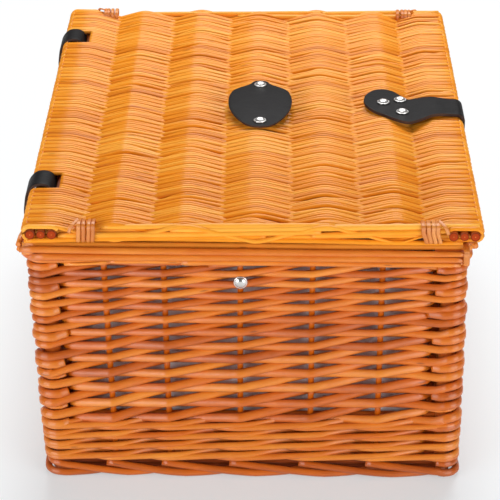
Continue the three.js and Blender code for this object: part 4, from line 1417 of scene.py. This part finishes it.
    def borders(self) -> None:
        """Lays the border rods across both ends: each starts low on one hand and rises towards the other."""
        work = RodWork("lid_border_rods", self.rng, 9)
        rng = self.rng
        names = []
        share = np.linspace(0, 1, 30)
        taper = between(self.border_taper, share)
        for end, sign in (("near", -1), ("far", 1)):
            names.append(f"lid_border_{end}")
            box = node_box(names[-1])
            face = max(abs(box.low[0]), abs(box.high[0]))
            for rod in self.border_rods:
                run = np.linspace(rod.start, rod.stop, 30)
                sag = self.border_sag * rod.sag * np.sin(math.pi * share)
                rise = rod.low + (rod.high - rod.low) * share + sag
                radius = self.border_diameter / 2 * rod.thick * taper
                depth = face - rod.depth - radius.max() + wander(rng, run * 3, 0.4, 1.0)
                level = self.middle + rise + wander(rng, run * 4, 0.35, 1.0)
                path = np.column_stack([sign * depth, self.half_width * run, level])
                work.add(path, radius, UP, self.border_tones)
        work.build(self.palette.lid, self.palette.cut, Body.LID, Slot.LID, *names)

    def lashings(self) -> None:
        """Winds thin strands of split willow round each end of the borders."""
        work = RodWork("lid_lashing_turns", self.rng, 8)
        rng = self.rng
        loops = np.linspace(-0.62 * math.pi, 1.34 * math.pi, 34)
        square = squared(loops)
        bulge = np.where(np.cos(loops) > 0, 0.9, 1.55)
        lag = np.clip(0.25 - np.sin(loops), 0, 1)
        middle_strand = (self.lashing_strands - 1) / 2
        for name, shift in self.lashing_shifts.items():
            sign = -1 if "near" in name else 1
            in_front = name.endswith("front")
            box = node_box(name)
            middle, half = box.middle, box.size / 2
            middle[1] += shift
            x = middle[0] + sign * half[0] * bulge * np.cos(loops) * square
            z = middle[2] + half[2] * 0.96 * np.sin(loops) * square
            facing = np.column_stack([sign * np.cos(loops), np.zeros(34), np.sin(loops)])
            for strand in range(self.lashing_strands):
                place = (strand - middle_strand) * self.lashing_pitch + rng.uniform(-0.5, 0.5)
                slant = rng.uniform(1.6, 3.8) * (1.0 if in_front else -0.3)
                y = middle[1] + place - slant * lag + wander(rng, loops, 0.25, 0.9)
                path = np.column_stack([x, y, z])
                work.add(path, rng.uniform(1.3, 1.6), facing, self.lashing_tones, self.lashing_flat)
            hand = -1 if in_front else 1
            reach = np.linspace(0, 1, 12)
            tail = np.column_stack([
                middle[0] + sign * half[0] * between(self.tail_out, reach),
                middle[1] + hand * between(self.tail_along, reach),
                middle[2] + half[2] * between(self.tail_up, reach)])
            work.add(tail, self.tail_radius, (sign * 0.6, 0, 0.8), self.tail_tones, self.lashing_flat)
        work.build(self.palette.split, self.palette.cut, Body.LID, Slot.SPLIT, *self.lashing_shifts)


class Bench:
    """Blender's own tools, used as at a workbench: one piece is active and selected at a time."""

    DOME_WIDTH = 0.93
    DOME_HEIGHT = 0.62
    FLANGE_WIDTH = 0.9
    FLANGE_RADIUS = 0.12
    FLANGE_LIFT = 0.1

    @staticmethod
    def clear() -> None:
        """Deselects everything."""
        bpy.ops.object.select_all(action="DESELECT")

    @staticmethod
    def hold(*pieces: Piece) -> None:
        """Selects pieces.

        Args:
            *pieces: The pieces, the first one being active.
        """
        Bench.clear()
        for piece in pieces:
            piece.select_set(True)
        bpy.context.view_layer.objects.active = pieces[0]

    @staticmethod
    def smooth(angle: float) -> None:
        """Shades the active piece smooth where its faces meet at less than an angle in degrees."""
        bpy.ops.object.shade_smooth_by_angle(angle=math.radians(angle))

    @staticmethod
    def join(*pieces: Piece) -> None:
        """Joins pieces into the first one."""
        Bench.hold(*pieces)
        bpy.ops.object.join()

    @staticmethod
    def grid(name: str, across: int, along: int) -> Piece:
        """Adds a flat grid to be shaped.

        Args:
            name: Name of the piece.
            across: Faces across.
            along: Faces along.

        Returns:
            The grid, one metre square.
        """
        Bench.clear()
        bpy.ops.mesh.primitive_grid_add(x_subdivisions=across, y_subdivisions=along, size=1.0)
        piece = bpy.context.active_object
        piece.name = name
        piece.data.name = name
        return piece

    @staticmethod
    def dome(name: str, diameter: float) -> Piece:
        """Makes a domed rivet head with a thin rolled flange, facing up at the origin.

        Args:
            name: Name of the piece.
            diameter: Diameter of the flange in millimetres.

        Returns:
            The rivet.
        """
        Bench.clear()
        radius = diameter / 2 * MM
        bpy.ops.mesh.primitive_uv_sphere_add(segments=32, ring_count=18, radius=radius * Bench.DOME_WIDTH)
        piece = bpy.context.active_object
        piece.name = name
        bpy.ops.object.mode_set(mode="EDIT")
        bpy.ops.mesh.select_all(action="SELECT")
        bpy.ops.transform.resize(value=(1, 1, Bench.DOME_HEIGHT))
        bpy.ops.mesh.bisect(plane_co=(0, 0, 0.0), plane_no=UP, clear_inner=True, use_fill=True)
        bpy.ops.object.mode_set(mode="OBJECT")
        bpy.ops.mesh.primitive_torus_add(
            major_segments=32, minor_segments=10, major_radius=radius * Bench.FLANGE_WIDTH,
            minor_radius=radius * Bench.FLANGE_RADIUS, location=(0, 0, radius * Bench.FLANGE_LIFT))
        Bench.join(piece, bpy.context.active_object)
        Bench.smooth(50)
        piece.data.name = name
        return piece

    @staticmethod
    def plate(name: str, outer: Array, holes: Sequence[Array], thick: float, edge: float) -> Piece:
        """Makes a flat plate with rounded edges, lying in the ground plane with its back at zero.

        Args:
            name: Name of the piece.
            outer: Outline points in millimetres.
            holes: Outlines of its holes.
            thick: Thickness in millimetres.
            edge: Radius of the rounded edges in millimetres.

        Returns:
            The plate as a mesh.
        """
        curve = bpy.data.curves.new(name, "CURVE")
        curve.dimensions = "2D"
        curve.fill_mode = "BOTH"
        curve.extrude = (thick / 2 - edge) * MM
        curve.bevel_depth = edge * MM
        curve.bevel_resolution = 3
        curve.offset = -edge * MM
        for outline in [outer, *holes]:
            spline = curve.splines.new("POLY")
            spline.points.add(len(outline) - 1)
            points = np.column_stack([outline * MM, np.zeros(len(outline)), np.ones(len(outline))])
            spline.points.foreach_set("co", points.astype(np.float32).ravel())
            spline.use_cyclic_u = True
        piece = bpy.data.objects.new(name, curve)
        bpy.context.scene.collection.objects.link(piece)
        Bench.hold(piece)
        bpy.ops.object.convert(target="MESH")
        piece = bpy.context.active_object
        bpy.ops.object.mode_set(mode="EDIT")
        bpy.ops.mesh.select_all(action="SELECT")
        bpy.ops.mesh.remove_doubles(threshold=1e-6)
        bpy.ops.mesh.normals_make_consistent(inside=False)
        bpy.ops.transform.translate(value=(0, 0, thick / 2 * MM))
        bpy.ops.object.mode_set(mode="OBJECT")
        Bench.smooth(40)
        return piece

    @staticmethod
    def carry(piece: Piece, placement: Matrix) -> None:
        """Moves a piece's mesh to its place and leaves the object at the origin."""
        piece.data.transform(placement)
        piece.data.update()

    @staticmethod
    def stand(piece: Piece, back: float, finish: bpy.types.Material) -> None:
        """Stands a plate on the front wall, facing forwards, and finishes it.

        Args:
            piece: A plate that lies in the ground plane.
            back: Where its back face goes, in millimetres.
            finish: Its finish.
        """
        Bench.carry(piece, Matrix.Translation((0, back * MM, 0)) @ Matrix.Rotation(QUARTER, 4, "X"))
        piece.data.materials.append(finish)

    @staticmethod
    def thicken(piece: Piece, thick: float, offset: float) -> bpy.types.Modifier:
        """Gives a sheet its thickness.

        Args:
            piece: The sheet.
            thick: Thickness in millimetres.
            offset: -1 to grow behind the faces, 1 to grow in front of them.

        Returns:
            The modifier, not applied yet.
        """
        wall = piece.modifiers.new("thickness", "SOLIDIFY")
        wall.thickness = thick * MM
        wall.offset = offset
        return wall

    @staticmethod
    def apply(piece: Piece) -> None:
        """Applies every modifier of a piece, which then is the active one."""
        Bench.hold(piece)
        for modifier in list(piece.modifiers):
            bpy.ops.object.modifier_apply(modifier=modifier.name)


def facing_frame(place: Sequence[float], normal: Sequence[float]) -> Matrix:
    """Gives the placement that turns the top of a piece to a normal, at a place in millimetres."""
    turn = Vector(normal).to_track_quat("Z", "Y").to_matrix().to_4x4()
    return Matrix.Translation(Vector(place) * MM) @ turn


def eased(points: Sequence[Span], places: Array) -> Array:
    """Runs a smooth curve through points.

    Args:
        points: Places and values, in order.
        places: Where values are wanted.

    Returns:
        The values.
    """
    xs, ys = np.array(points, float).T
    slopes = np.gradient(ys, xs)
    index = np.clip(np.searchsorted(xs, places) - 1, 0, len(xs) - 2)
    width = xs[index + 1] - xs[index]
    t = np.clip((places - xs[index]) / width, 0, 1)
    rise = ys[index] * (2 * t**3 - 3 * t**2 + 1) + ys[index + 1] * (3 * t**2 - 2 * t**3)
    return rise + width * (slopes[index] * (t**3 - 2 * t**2 + t) + slopes[index + 1] * (t**3 - t**2))


def slot_outline(middle: Span, length: float, width: float) -> Array:
    """Gives a slot with round ends.

    Args:
        middle: Its middle across and up.
        length: Its whole length.
        width: Its width.

    Returns:
        The outline points.
    """
    angles = np.linspace(-QUARTER, QUARTER, 13)
    straight = (length - width) / 2
    half = width / 2
    x, z = middle
    right = np.column_stack([x + straight + half * np.cos(angles), z + half * np.sin(angles)])
    left = np.column_stack([x - straight - half * np.cos(angles), z - half * np.sin(angles)])
    return np.concatenate([right, left])


@dataclass
class LeatherWork:
    """The patch on the lid, the closing strap with its tail, and the two hinge straps."""
    palette: Palette
    thick: float = 2.4
    edge_radius: float = 0.5
    patch_thick: float = 1.5
    patch_crown: float = 1.5
    dip_place: float = 0.8
    dip_size: Span = (0.24, 0.34)
    dip_depth: float = 0.75
    patch_widths: Sequence[Span] = (
        (-1, 0), (-0.985, 0.17), (-0.94, 0.33), (-0.86, 0.48), (-0.756, 0.6), (-0.533, 0.79),
        (-0.311, 0.915), (0.1, 1.0), (0.356, 0.955), (0.578, 0.82), (0.711, 0.59), (0.778, 0.43),
        (0.867, 0.29), (0.956, 0.2), (0.985, 0.12), (1, 0))
    strap_widths: Sequence[Span] = (
        (0, 1), (0.228, 1.04), (0.338, 1.19), (0.466, 1.375), (0.566, 1.48), (0.615, 1.64), (0.69, 1.81),
        (0.815, 1.65), (0.92, 1.21), (0.965, 0.8), (0.99, 0.42), (1, 0))
    strap_leans: Sequence[Span] = (
        (0, 0), (0.228, 0), (0.338, -0.6), (0.466, -5), (0.566, -7.7), (0.615, -4.2), (0.69, 2.9),
        (0.815, 10.4), (0.92, 12.3), (1, 12.9))
    strap_arch: float = 1.3
    strap_bend: float = 4.0
    tail_slot: Span = (13, 6)
    tip_taper: float = 0.45
    tip_from: float = 0.93

    def build(self) -> None:
        """Makes every leather piece."""
        self.patch()
        self.closing_strap()
        self.tail()
        for index in (1, 2):
            self.hinge_strap(index)

    def cut_out(self, name: str, faces: tuple[int, int], thick: float,
                rule: Callable[[Array, Array], Array]) -> Piece:
        """Shapes a sheet of leather with its thickness, rounded edges and finishes.

        Args:
            name: Name of the piece.
            faces: Faces across and along.
            thick: Thickness of the leather in millimetres.
            rule: Takes shares across from -1 to 1 and along from 0 to 1, and gives points in millimetres.

        Returns:
            The piece.
        """
        piece = Bench.grid(name, *faces)
        flat = np.zeros(len(piece.data.vertices) * 3)
        piece.data.vertices.foreach_get("co", flat)
        flat = flat.reshape(-1, 3)
        points = rule(flat[:, 0] * 2, flat[:, 1] + 0.5) * MM
        piece.data.vertices.foreach_set("co", points.astype(np.float32).ravel())
        piece.data.update()
        total = sum((face.normal * face.area for face in piece.data.polygons), Vector())
        if total.z < 0:
            piece.data.flip_normals()
        piece.data.materials.append(self.palette.leather)
        piece.data.materials.append(self.palette.raw_edge)
        Bench.thicken(piece, thick, -1.0).material_offset_rim = 1
        rounding = piece.modifiers.new("rounding", "BEVEL")
        rounding.width = self.edge_radius * MM
        rounding.segments = 2
        rounding.limit_method = "ANGLE"
        rounding.angle_limit = math.radians(50)
        Bench.apply(piece)
        Bench.smooth(40)
        return piece

    def patch(self) -> None:
        """Makes the shaped patch: rounded towards the near end, with a lobe round the far rivet."""
        box = node_box("lid_patch")
        half, centre = box.size / 2, box.middle

        def rule(across: Array, along: Array) -> Array:
            """Places the patch's points, pressed down round its two rivets.

            Args:
                across: Shares across from -1 to 1.
                along: Shares along from 0 to 1.

            Returns:
                The points in millimetres.
            """
            share = -np.cos(math.pi * along)
            width = np.maximum(eased(self.patch_widths, share), 0.012)
            crown = self.patch_crown * (1 - across**2) * (1 - share**2)
            along_dip = (np.abs(share) - self.dip_place) / self.dip_size[0]
            dips = np.exp(-along_dip ** 2 - (width * across / self.dip_size[1]) ** 2)
            crown = crown * (1 - self.dip_depth * dips)
            y = centre[1] - half[1] * width * across
            return np.column_stack([centre[0] + half[0] * share, y, box.high[2] + crown])

        piece = self.cut_out("lid_patch_leather", (20, 56), self.patch_thick, rule)
        settle(piece, Body.LID, Slot.LEATHER, "lid_patch")

    def closing_strap(self) -> None:
        """Makes the closing strap: a leaning drop-shaped pad, a neck, and the bend over the front edge."""
        box, tail = node_box("closing_strap"), node_box("strap_tail")
        middle = tail.middle[0]
        half = tail.size[0] / 2
        reach = box.size[1]
        top, edge = box.high[2], box.low[1]
        bend = self.strap_bend + self.thick
        widths = [(place, half * factor) for place, factor in self.strap_widths]

        def rule(across: Array, along: Array) -> Array:
            """Places the strap's points: first up the bend, then back over the lid.

            Args:
                across: Shares across from -1 to 1.
                along: Shares along from 0 to 1.

            Returns:
                The points in millimetres.
            """
            arc = QUARTER * bend
            length = along * (arc + reach - bend)
            angle = np.clip(length / arc, 0, 1) * math.pi / 2
            over = np.clip(length - arc, 0, None)
            y = edge + bend - bend * np.cos(angle) + over
            z = top - bend + bend * np.sin(angle)
            place = np.clip((y - edge) / reach, 0, 1)
            arch = self.strap_arch * np.exp(-((place - 0.3) / 0.13) ** 2)
            width = np.maximum(eased(widths, place), 0.02)
            return np.column_stack([middle + eased(self.strap_leans, place) + width * across, y, z + arch])

        piece = self.cut_out("closing_strap_leather", (16, 72), self.thick, rule)
        settle(piece, Body.LID, Slot.LEATHER, "closing_strap")

    def tail(self) -> None:
        """Makes the hanging tail with its slot and round end."""
        box = node_box("strap_tail")
        middle, half = box.middle[0], box.size[0] / 2
        angles = np.linspace(math.pi, 2 * math.pi, 25)
        base, top = box.low[2] + half, box.high[2] - 0.2
        round_end = np.column_stack([middle + half * np.cos(angles), base + half * np.sin(angles)])
        outline = np.concatenate([round_end, [(middle + half, top), (middle - half, top)]])
        slot = slot_outline((middle, node_box("strap_eyelet").middle[2]), *self.tail_slot)
        piece = Bench.plate("strap_tail_leather", outline, [slot], self.thick, self.edge_radius)
        Bench.stand(piece, box.high[1], self.palette.leather)
        settle(piece, Body.TAIL, Slot.LEATHER, "strap_tail")

    def hinge_strap(self, index: int) -> None:
        """Makes one hinge strap: up through the lid, over the side sticks and down outside the rim.

        Args:
            index: Number of the strap.
        """
        name = f"hinge_strap_{index}"
        box, lid, stick = node_box(name), node_box("lid_weave"), node_box("lid_side_stick_back_1")
        low = box.low
        middle, half = box.middle[0], box.size[0] / 2
        wall = node_box(f"hinge_rivet_{index}").middle[1] + 0.6
        under, level = lid.low[2], lid.middle[2]
        edge, radius = stick.middle[1], stick.size[2] / 2
        over = radius + self.thick + 0.3
        inner = low[1] + self.thick
        route = np.array([
            (inner - 0.6, under + 3), (inner - 0.4, level + radius - 1), (inner + 1.4, level + over + 0.2),
            (edge - 4, level + over + 2.6), (edge + 3.4, level + over + 1.6),
            (edge + over + 2.2, level + 2.6), (edge + over + 4.9, under - 1),
            (edge + over + 5.4, under - 9), (edge + over + 3.6, under - 18),
            (wall + 1.6, under - 29), (wall, low[2] + 10), (wall, low[2])])
        stretch = path_lengths(route)
        stretch /= stretch[-1]

        def rule(across: Array, along: Array) -> Array:
            """Places the strap's points along its route."""
            y, z = (eased(list(zip(stretch, column)), along) for column in route.T)
            taper = 1 - self.tip_taper * np.clip((along - self.tip_from) / (1 - self.tip_from), 0, 1) ** 2
            return np.column_stack([middle + half * taper * across, y, z])

        piece = self.cut_out(f"{name}_leather", (8, 64), self.thick, rule)
        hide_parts(name)
        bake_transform(piece)
        log.info("%s bends between lid and basket", piece.name)


@dataclass
class MetalWork:
    """Domed rivets, the strap's slotted plate and the turn lock."""
    palette: Palette
    rivet_sink: float = 0.3
    eyelet_margin: float = 6.0
    eyelet_edge: float = 0.3
    plate_edge: float = 0.5
    wing_thick: float = 3.0
    wing_edge: float = 1.2
    post_radius: float = 2.2
    post_length: float = 3.4

    def build(self) -> None:
        """Makes every metal piece."""
        self.rivets()
        self.eyelet()
        self.lock()

    def rivets(self) -> None:
        """Sets a domed head on each rivet of the frame."""
        heads = [(f"patch_rivet_{i}", UP, Body.LID) for i in (1, 2)]
        heads += [(f"strap_rivet_{i}", UP, Body.LID) for i in (1, 2, 3)]
        heads += [(f"lock_rivet_{i}", (0, -1, 0), Body.BASKET) for i in (1, 2)]
        heads += [(f"hinge_rivet_{i}", (0, 1, 0), Body.BASKET) for i in (1, 2)]
        heads += [("end_rivet_near", (-1, 0, 0), Body.BASKET), ("end_rivet_far", (1, 0, 0), Body.BASKET)]
        for name, normal, body in heads:
            box = node_box(name)
            axis = int(np.argmax(np.abs(normal)))
            diameter = box.size[(axis + 1) % 3]
            place = box.middle
            tip = box.high[axis] if normal[axis] > 0 else box.low[axis]
            place[axis] = tip - normal[axis] * diameter * self.rivet_sink
            piece = Bench.dome(f"{name}_head", diameter)
            Bench.carry(piece, facing_frame(place, normal))
            piece.data.materials.append(self.palette.polished if axis == 0 else self.palette.nickel)
            settle(piece, body, Slot.NICKEL, name)

    def eyelet(self) -> None:
        """Makes the slotted metal plate on the strap's tail."""
        box = node_box("strap_eyelet")
        middle, size = box.middle[[0, 2]], box.size
        outer = slot_outline(middle, size[0], size[2])
        hole = slot_outline(middle, size[0] - self.eyelet_margin, size[2] - self.eyelet_margin)
        piece = Bench.plate("strap_eyelet_plate", outer, [hole], size[1], self.eyelet_edge)
        Bench.stand(piece, box.high[1], self.palette.nickel)
        settle(piece, Body.TAIL, Slot.NICKEL, "strap_eyelet")

    @staticmethod
    def ellipse(box: Box) -> Array:
        """Gives the ellipse that fills a box seen from the front."""
        angles = np.linspace(0, 2 * math.pi, 48, endpoint=False)
        rounds = ((0, np.cos(angles)), (2, np.sin(angles)))
        return np.column_stack([box.middle[axis] + box.size[axis] / 2 * value for axis, value in rounds])

    def lock(self) -> None:
        """Makes the lock's base plate and its turning button."""
        box = node_box("lock_plate")
        plate = Bench.plate("lock_base_plate", self.ellipse(box), [], box.size[1], self.plate_edge)
        Bench.stand(plate, box.high[1], self.palette.nickel)
        settle(plate, Body.BASKET, Slot.NICKEL, "lock_plate")
        box = node_box("lock_button")
        wing = Bench.plate("lock_turn_button", self.ellipse(box), [], self.wing_thick, self.wing_edge)
        Bench.stand(wing, box.low[1] + self.wing_thick, self.palette.nickel)
        Bench.clear()
        bpy.ops.mesh.primitive_cylinder_add(vertices=24, radius=self.post_radius * MM,
                                            depth=self.post_length * MM)
        post = bpy.context.active_object
        place = box.middle
        place[1] = box.high[1] - self.post_length / 2
        Bench.carry(post, facing_frame(place, (0, -1, 0)))
        post.data.materials.append(self.palette.nickel)
        Bench.join(wing, post)
        Bench.smooth(40)
        settle(wing, Body.BUTTON, Slot.NICKEL, "lock_button")


@dataclass
class Lining:
    """Grey cloth sewn into an open tray that hangs inside the walls."""
    palette: Palette
    corner: float = 30.0
    thick: float = 1.0
    reach: float = 1.0
    around: int = 320
    up_rows: int = 26
    floor_rows: int = 18
    fold_counts: Sequence[int] = (9, 14, 23, 31, 5, 41)
    fold_depth: float = 2.3
    pleats: int = 70
    pleat_depth: float = 1.3
    stitches: int = 30
    scallop: Span = (1.5, 1.3)
    lean: float = 2.2
    base_round: float = 7
    base_from: float = 0.93
    floor_wave: float = 0.8
    floor_crease: float = 0.9
    seed: int = 5

    def build(self) -> None:
        """Makes the lining: soft folds, pleated corners and a top edge that sags between its stitches."""
        box = node_box("lining")
        low, high = box.low, box.high
        rng = np.random.default_rng(self.seed)
        points, maps = [], []
        phases = rng.uniform(0, 2 * math.pi, len(self.fold_counts))
        turn = np.arange(self.around) / self.around
        ring, normal, length = self.outline(high[:2] + self.reach, turn)
        folds = sum(np.sin(2 * math.pi * turn * k + p) for k, p in zip(self.fold_counts, phases)) / 6
        corner = 2 * np.abs(normal[:, 0] * normal[:, 1])
        pleats = corner * np.sin(2 * math.pi * self.pleats * turn + 2 * folds)
        scallop = self.scallop[0] - self.scallop[1] * np.abs(np.sin(math.pi * self.stitches * turn + folds))
        for row in range(self.up_rows + 1):
            share = row / self.up_rows
            z = high[2] - share * (high[2] - low[2] - 1) - (1 - share) ** 3 * scallop
            hang = math.sin(math.pi * min(1, share * 1.05 + 0.08))
            billow = folds + 0.5 + 0.4 * np.sin(6 * share + 9 * folds)
            inset = self.lean * share + self.fold_depth * billow * hang
            inset = inset + self.pleat_depth * (pleats + corner) * (1 - share) ** 1.5
            inset = inset + self.base_round * max(0, share - self.base_from) / (1 - self.base_from)
            flat = ring - normal * inset[:, None]
            points.append(np.column_stack([flat, z]))
            maps.append(np.column_stack([length, z]))
        edge = points[-1][:, :2]
        for row in range(1, self.floor_rows + 1):
            base = edge * (1 - row / (self.floor_rows + 0.5))
            x, y = base.T
            wave = np.sin(7 * x / 100 + phases[0])
            sag = low[2] + 1 + self.floor_wave * wave * np.sin(9 * y / 100 + phases[1])
            crease = np.clip(np.sin(x / 17 + y / 31 + 2 * np.sin(y / 40)), 0, 1) ** 3
            sag = sag + self.floor_crease * crease
            points.append(np.column_stack([base, sag]))
            maps.append(base)
        self.make(np.concatenate(points), np.concatenate(maps))

    def outline(self, half: Array, turn: Array) -> tuple[Array, Array, Array]:
        """Gives the tray's outline seen from above.

        Args:
            half: Half length and half width.
            turn: Places round it from 0 to 1.

        Returns:
            The points, their outward directions, and the length along the outline.
        """
        line = WallLine(half[0], half[1], 1, 0, 0, [0.0], [0.0], self.corner)
        run = turn * line.round_length
        stops = np.append(line.stops, line.stops[0] + line.round_length) - line.stops[0]
        stakes = np.interp(run, stops, np.arange(line.stakes + 1))
        points, normals = line.point(stakes, np.zeros(len(turn)), np.zeros(len(turn)))
        return points[:, :2], normals[:, :2], run

    def make(self, points: Array, maps: Array) -> None:
        """Args:
            points: Points in rows, from the top edge down and in to the middle of the floor.
            maps: Flat coordinates of the points, in millimetres.
        """
        around, rows = self.around, self.up_rows + self.floor_rows
        here = np.arange(around)
        quads = np.stack([here, (here + 1) % around, (here + 1) % around + around, here + around], -1)
        faces = np.concatenate([quads + row * around for row in range(rows)]).tolist()
        faces.append((here + rows * around).tolist())
        mesh = bpy.data.meshes.new("lining_cloth")
        mesh.from_pydata((points * MM).tolist(), [], faces)
        layer = mesh.uv_layers.new(name="ClothMap")
        corners = np.zeros(len(mesh.loops), np.int32)
        mesh.loops.foreach_get("vertex_index", corners)
        layer.data.foreach_set("uv", (maps[corners] * MM).astype(np.float32).ravel())
        piece = bpy.data.objects.new("lining_cloth", mesh)
        bpy.context.scene.collection.objects.link(piece)
        mesh.materials.append(self.palette.lining)
        Bench.thicken(piece, self.thick, 1.0)
        Bench.apply(piece)
        bpy.ops.object.shade_smooth()
        settle(piece, Body.BASKET, Slot.LINING, "lining")


@dataclass
class Studio:
    """Camera, pale floor and soft lamps."""
    focal_px: float = 2243.67
    picture_px: float = 500
    sensor: float = 36.0
    eye: tuple[float, float, float] = (-1.68, -0.0099, 0.9079)
    yaw: float = 0.46
    pitch: float = 26.07
    roll: float = 0.1
    floor_size: float = 30.0
    bounced_paper: Colour = (0.88, 0.915, 0.935, 1)
    seen_paper: Colour = (0.82, 0.905, 0.95, 1)
    shadow_length: float = 0.18
    shadow_edge: Span = (0.15, 0.24)
    glow_shares: Span = (0.38, 0.88)
    room_light: Span = (0.2, 1.0)
    side_size: Span = (1.15, 0.85)

    def build(self) -> None:
        """Sets up the whole studio."""
        self.camera()
        self.floor()
        self.lamps()
        bpy.context.scene.view_settings.view_transform = "Standard"

    def camera(self) -> None:
        """Places the camera where the photograph was taken from."""
        data = bpy.data.cameras.new("camera")
        data.sensor_width = self.sensor
        data.lens = self.sensor * self.focal_px / self.picture_px
        camera = bpy.data.objects.new("camera", data)
        bpy.context.scene.collection.objects.link(camera)
        yaw, pitch, roll = (math.radians(angle) for angle in (self.yaw, self.pitch, self.roll))
        look = Vector((math.cos(pitch) * math.cos(yaw), math.cos(pitch) * math.sin(yaw), -math.sin(pitch)))
        turn = look.to_track_quat("-Z", "Y").to_matrix().to_4x4()
        camera.matrix_world = Matrix.Translation(self.eye) @ turn @ Matrix.Rotation(roll, 4, "Z")
        bpy.context.scene.camera = camera

    def floor(self) -> None:
        """Lays the pale floor, which shows white to the camera but keeps the shadow."""
        Bench.clear()
        bpy.ops.mesh.primitive_plane_add(size=self.floor_size)
        floor = bpy.context.active_object
        floor.name = "studio_floor"
        sheet = NodeSheet("studio_floor")
        nodes = sheet.tree.nodes
        nodes.remove(sheet.shader)
        seen = self.seen(sheet)
        paper = sheet.add("ShaderNodeBsdfDiffuse")
        colour = sheet.ramp(seen, (0.0, self.bounced_paper), (1.0, self.seen_paper))
        sheet.feed(colour, paper.inputs["Color"])
        glow = sheet.add("ShaderNodeEmission")
        sheet.feed((1, 1, 1, 1), glow.inputs["Color"])
        parts = sheet.add("ShaderNodeSeparateXYZ")
        sheet.feed(sheet.place(), parts.inputs[0])
        across, along = (sheet.math("ABSOLUTE", parts.outputs[axis]) for axis in ("Y", "X"))
        aside = sheet.math("MAXIMUM", across, sheet.math("SUBTRACT", along, self.shadow_length))
        share = sheet.math("MULTIPLY", seen, sheet.spread(aside, self.shadow_edge, self.glow_shares))
        mix = sheet.add("ShaderNodeMixShader")
        for value, target in zip((share, paper.outputs[0], glow.outputs[0]), mix.inputs):
            sheet.feed(value, target)
        sheet.feed(mix.outputs[0], nodes["Material Output"].inputs["Surface"])
        floor.data.materials.append(sheet.material)

    @staticmethod
    def seen(sheet: NodeSheet) -> Socket:
        """Gives 1 for rays from the camera, a mirror or glass, and 0 for soft light.

        Args:
            sheet: Node tree that takes the nodes.

        Returns:
            The mask.
        """
        rays = sheet.add("ShaderNodeLightPath").outputs
        direct = sheet.math("MAXIMUM", rays["Is Camera Ray"], rays["Is Glossy Ray"])
        return sheet.math("MAXIMUM", direct, rays["Is Transmission Ray"])

    def lamps(self) -> None:
        """Hangs a large soft lamp on each side and one above, in a dim white room."""
        world = bpy.data.worlds.new("studio")
        world.use_nodes = True
        nodes, links = world.node_tree.nodes, world.node_tree.links
        room = nodes["Background"].inputs
        room["Color"].default_value = (1, 1, 1, 1)
        rays = nodes.new("ShaderNodeLightPath")
        level = nodes.new("ShaderNodeMapRange")
        level.inputs["To Min"].default_value, level.inputs["To Max"].default_value = self.room_light
        links.new(rays.outputs["Is Camera Ray"], level.inputs["Value"])
        links.new(level.outputs["Result"], room["Strength"])
        bpy.context.scene.world = world
        self.lamp("left_lamp", (-1.23, 1.11, 0.46), (-0.2, 0.0, 0.15), self.side_size, 14.5)
        self.lamp("right_lamp", (-1.23, -1.11, 0.46), (-0.2, 0.0, 0.15), self.side_size, 13.5)
        self.lamp("back_lamp", (0.9, -0.1, 1.6), (0.0, 0.0, 0.15), (1.1, 1.1), 32)

    @staticmethod
    def lamp(name: str, place: Sequence[float], aim: Sequence[float], size: Span, power: float) -> None:
        """Hangs one soft lamp.

        Args:
            name: Name of the lamp.
            place: Where it hangs, in metres.
            aim: Point that it looks at.
            size: Its width and height.
            power: Its power in watts.
        """
        data = bpy.data.lights.new(name, "AREA")
        data.shape = "RECTANGLE"
        data.size, data.size_y = size
        data.energy = power
        lamp = bpy.data.objects.new(name, data)
        bpy.context.scene.collection.objects.link(lamp)
        turn = (Vector(aim) - Vector(place)).to_track_quat("-Z", "Y").to_matrix().to_4x4()
        lamp.matrix_world = Matrix.Translation(place) @ turn
        lamp.visible_camera = False


def main() -> None:
    """Builds the studio and every piece."""
    logging.basicConfig(level=logging.INFO, format="%(message)s")
    Studio().build()
    palette = Palette()
    for assembly in (WickerBody, WovenLid, LeatherWork, MetalWork, Lining):
        assembly(palette).build()
    log.info("sizes written")


if __name__ == "__main__":
    main()
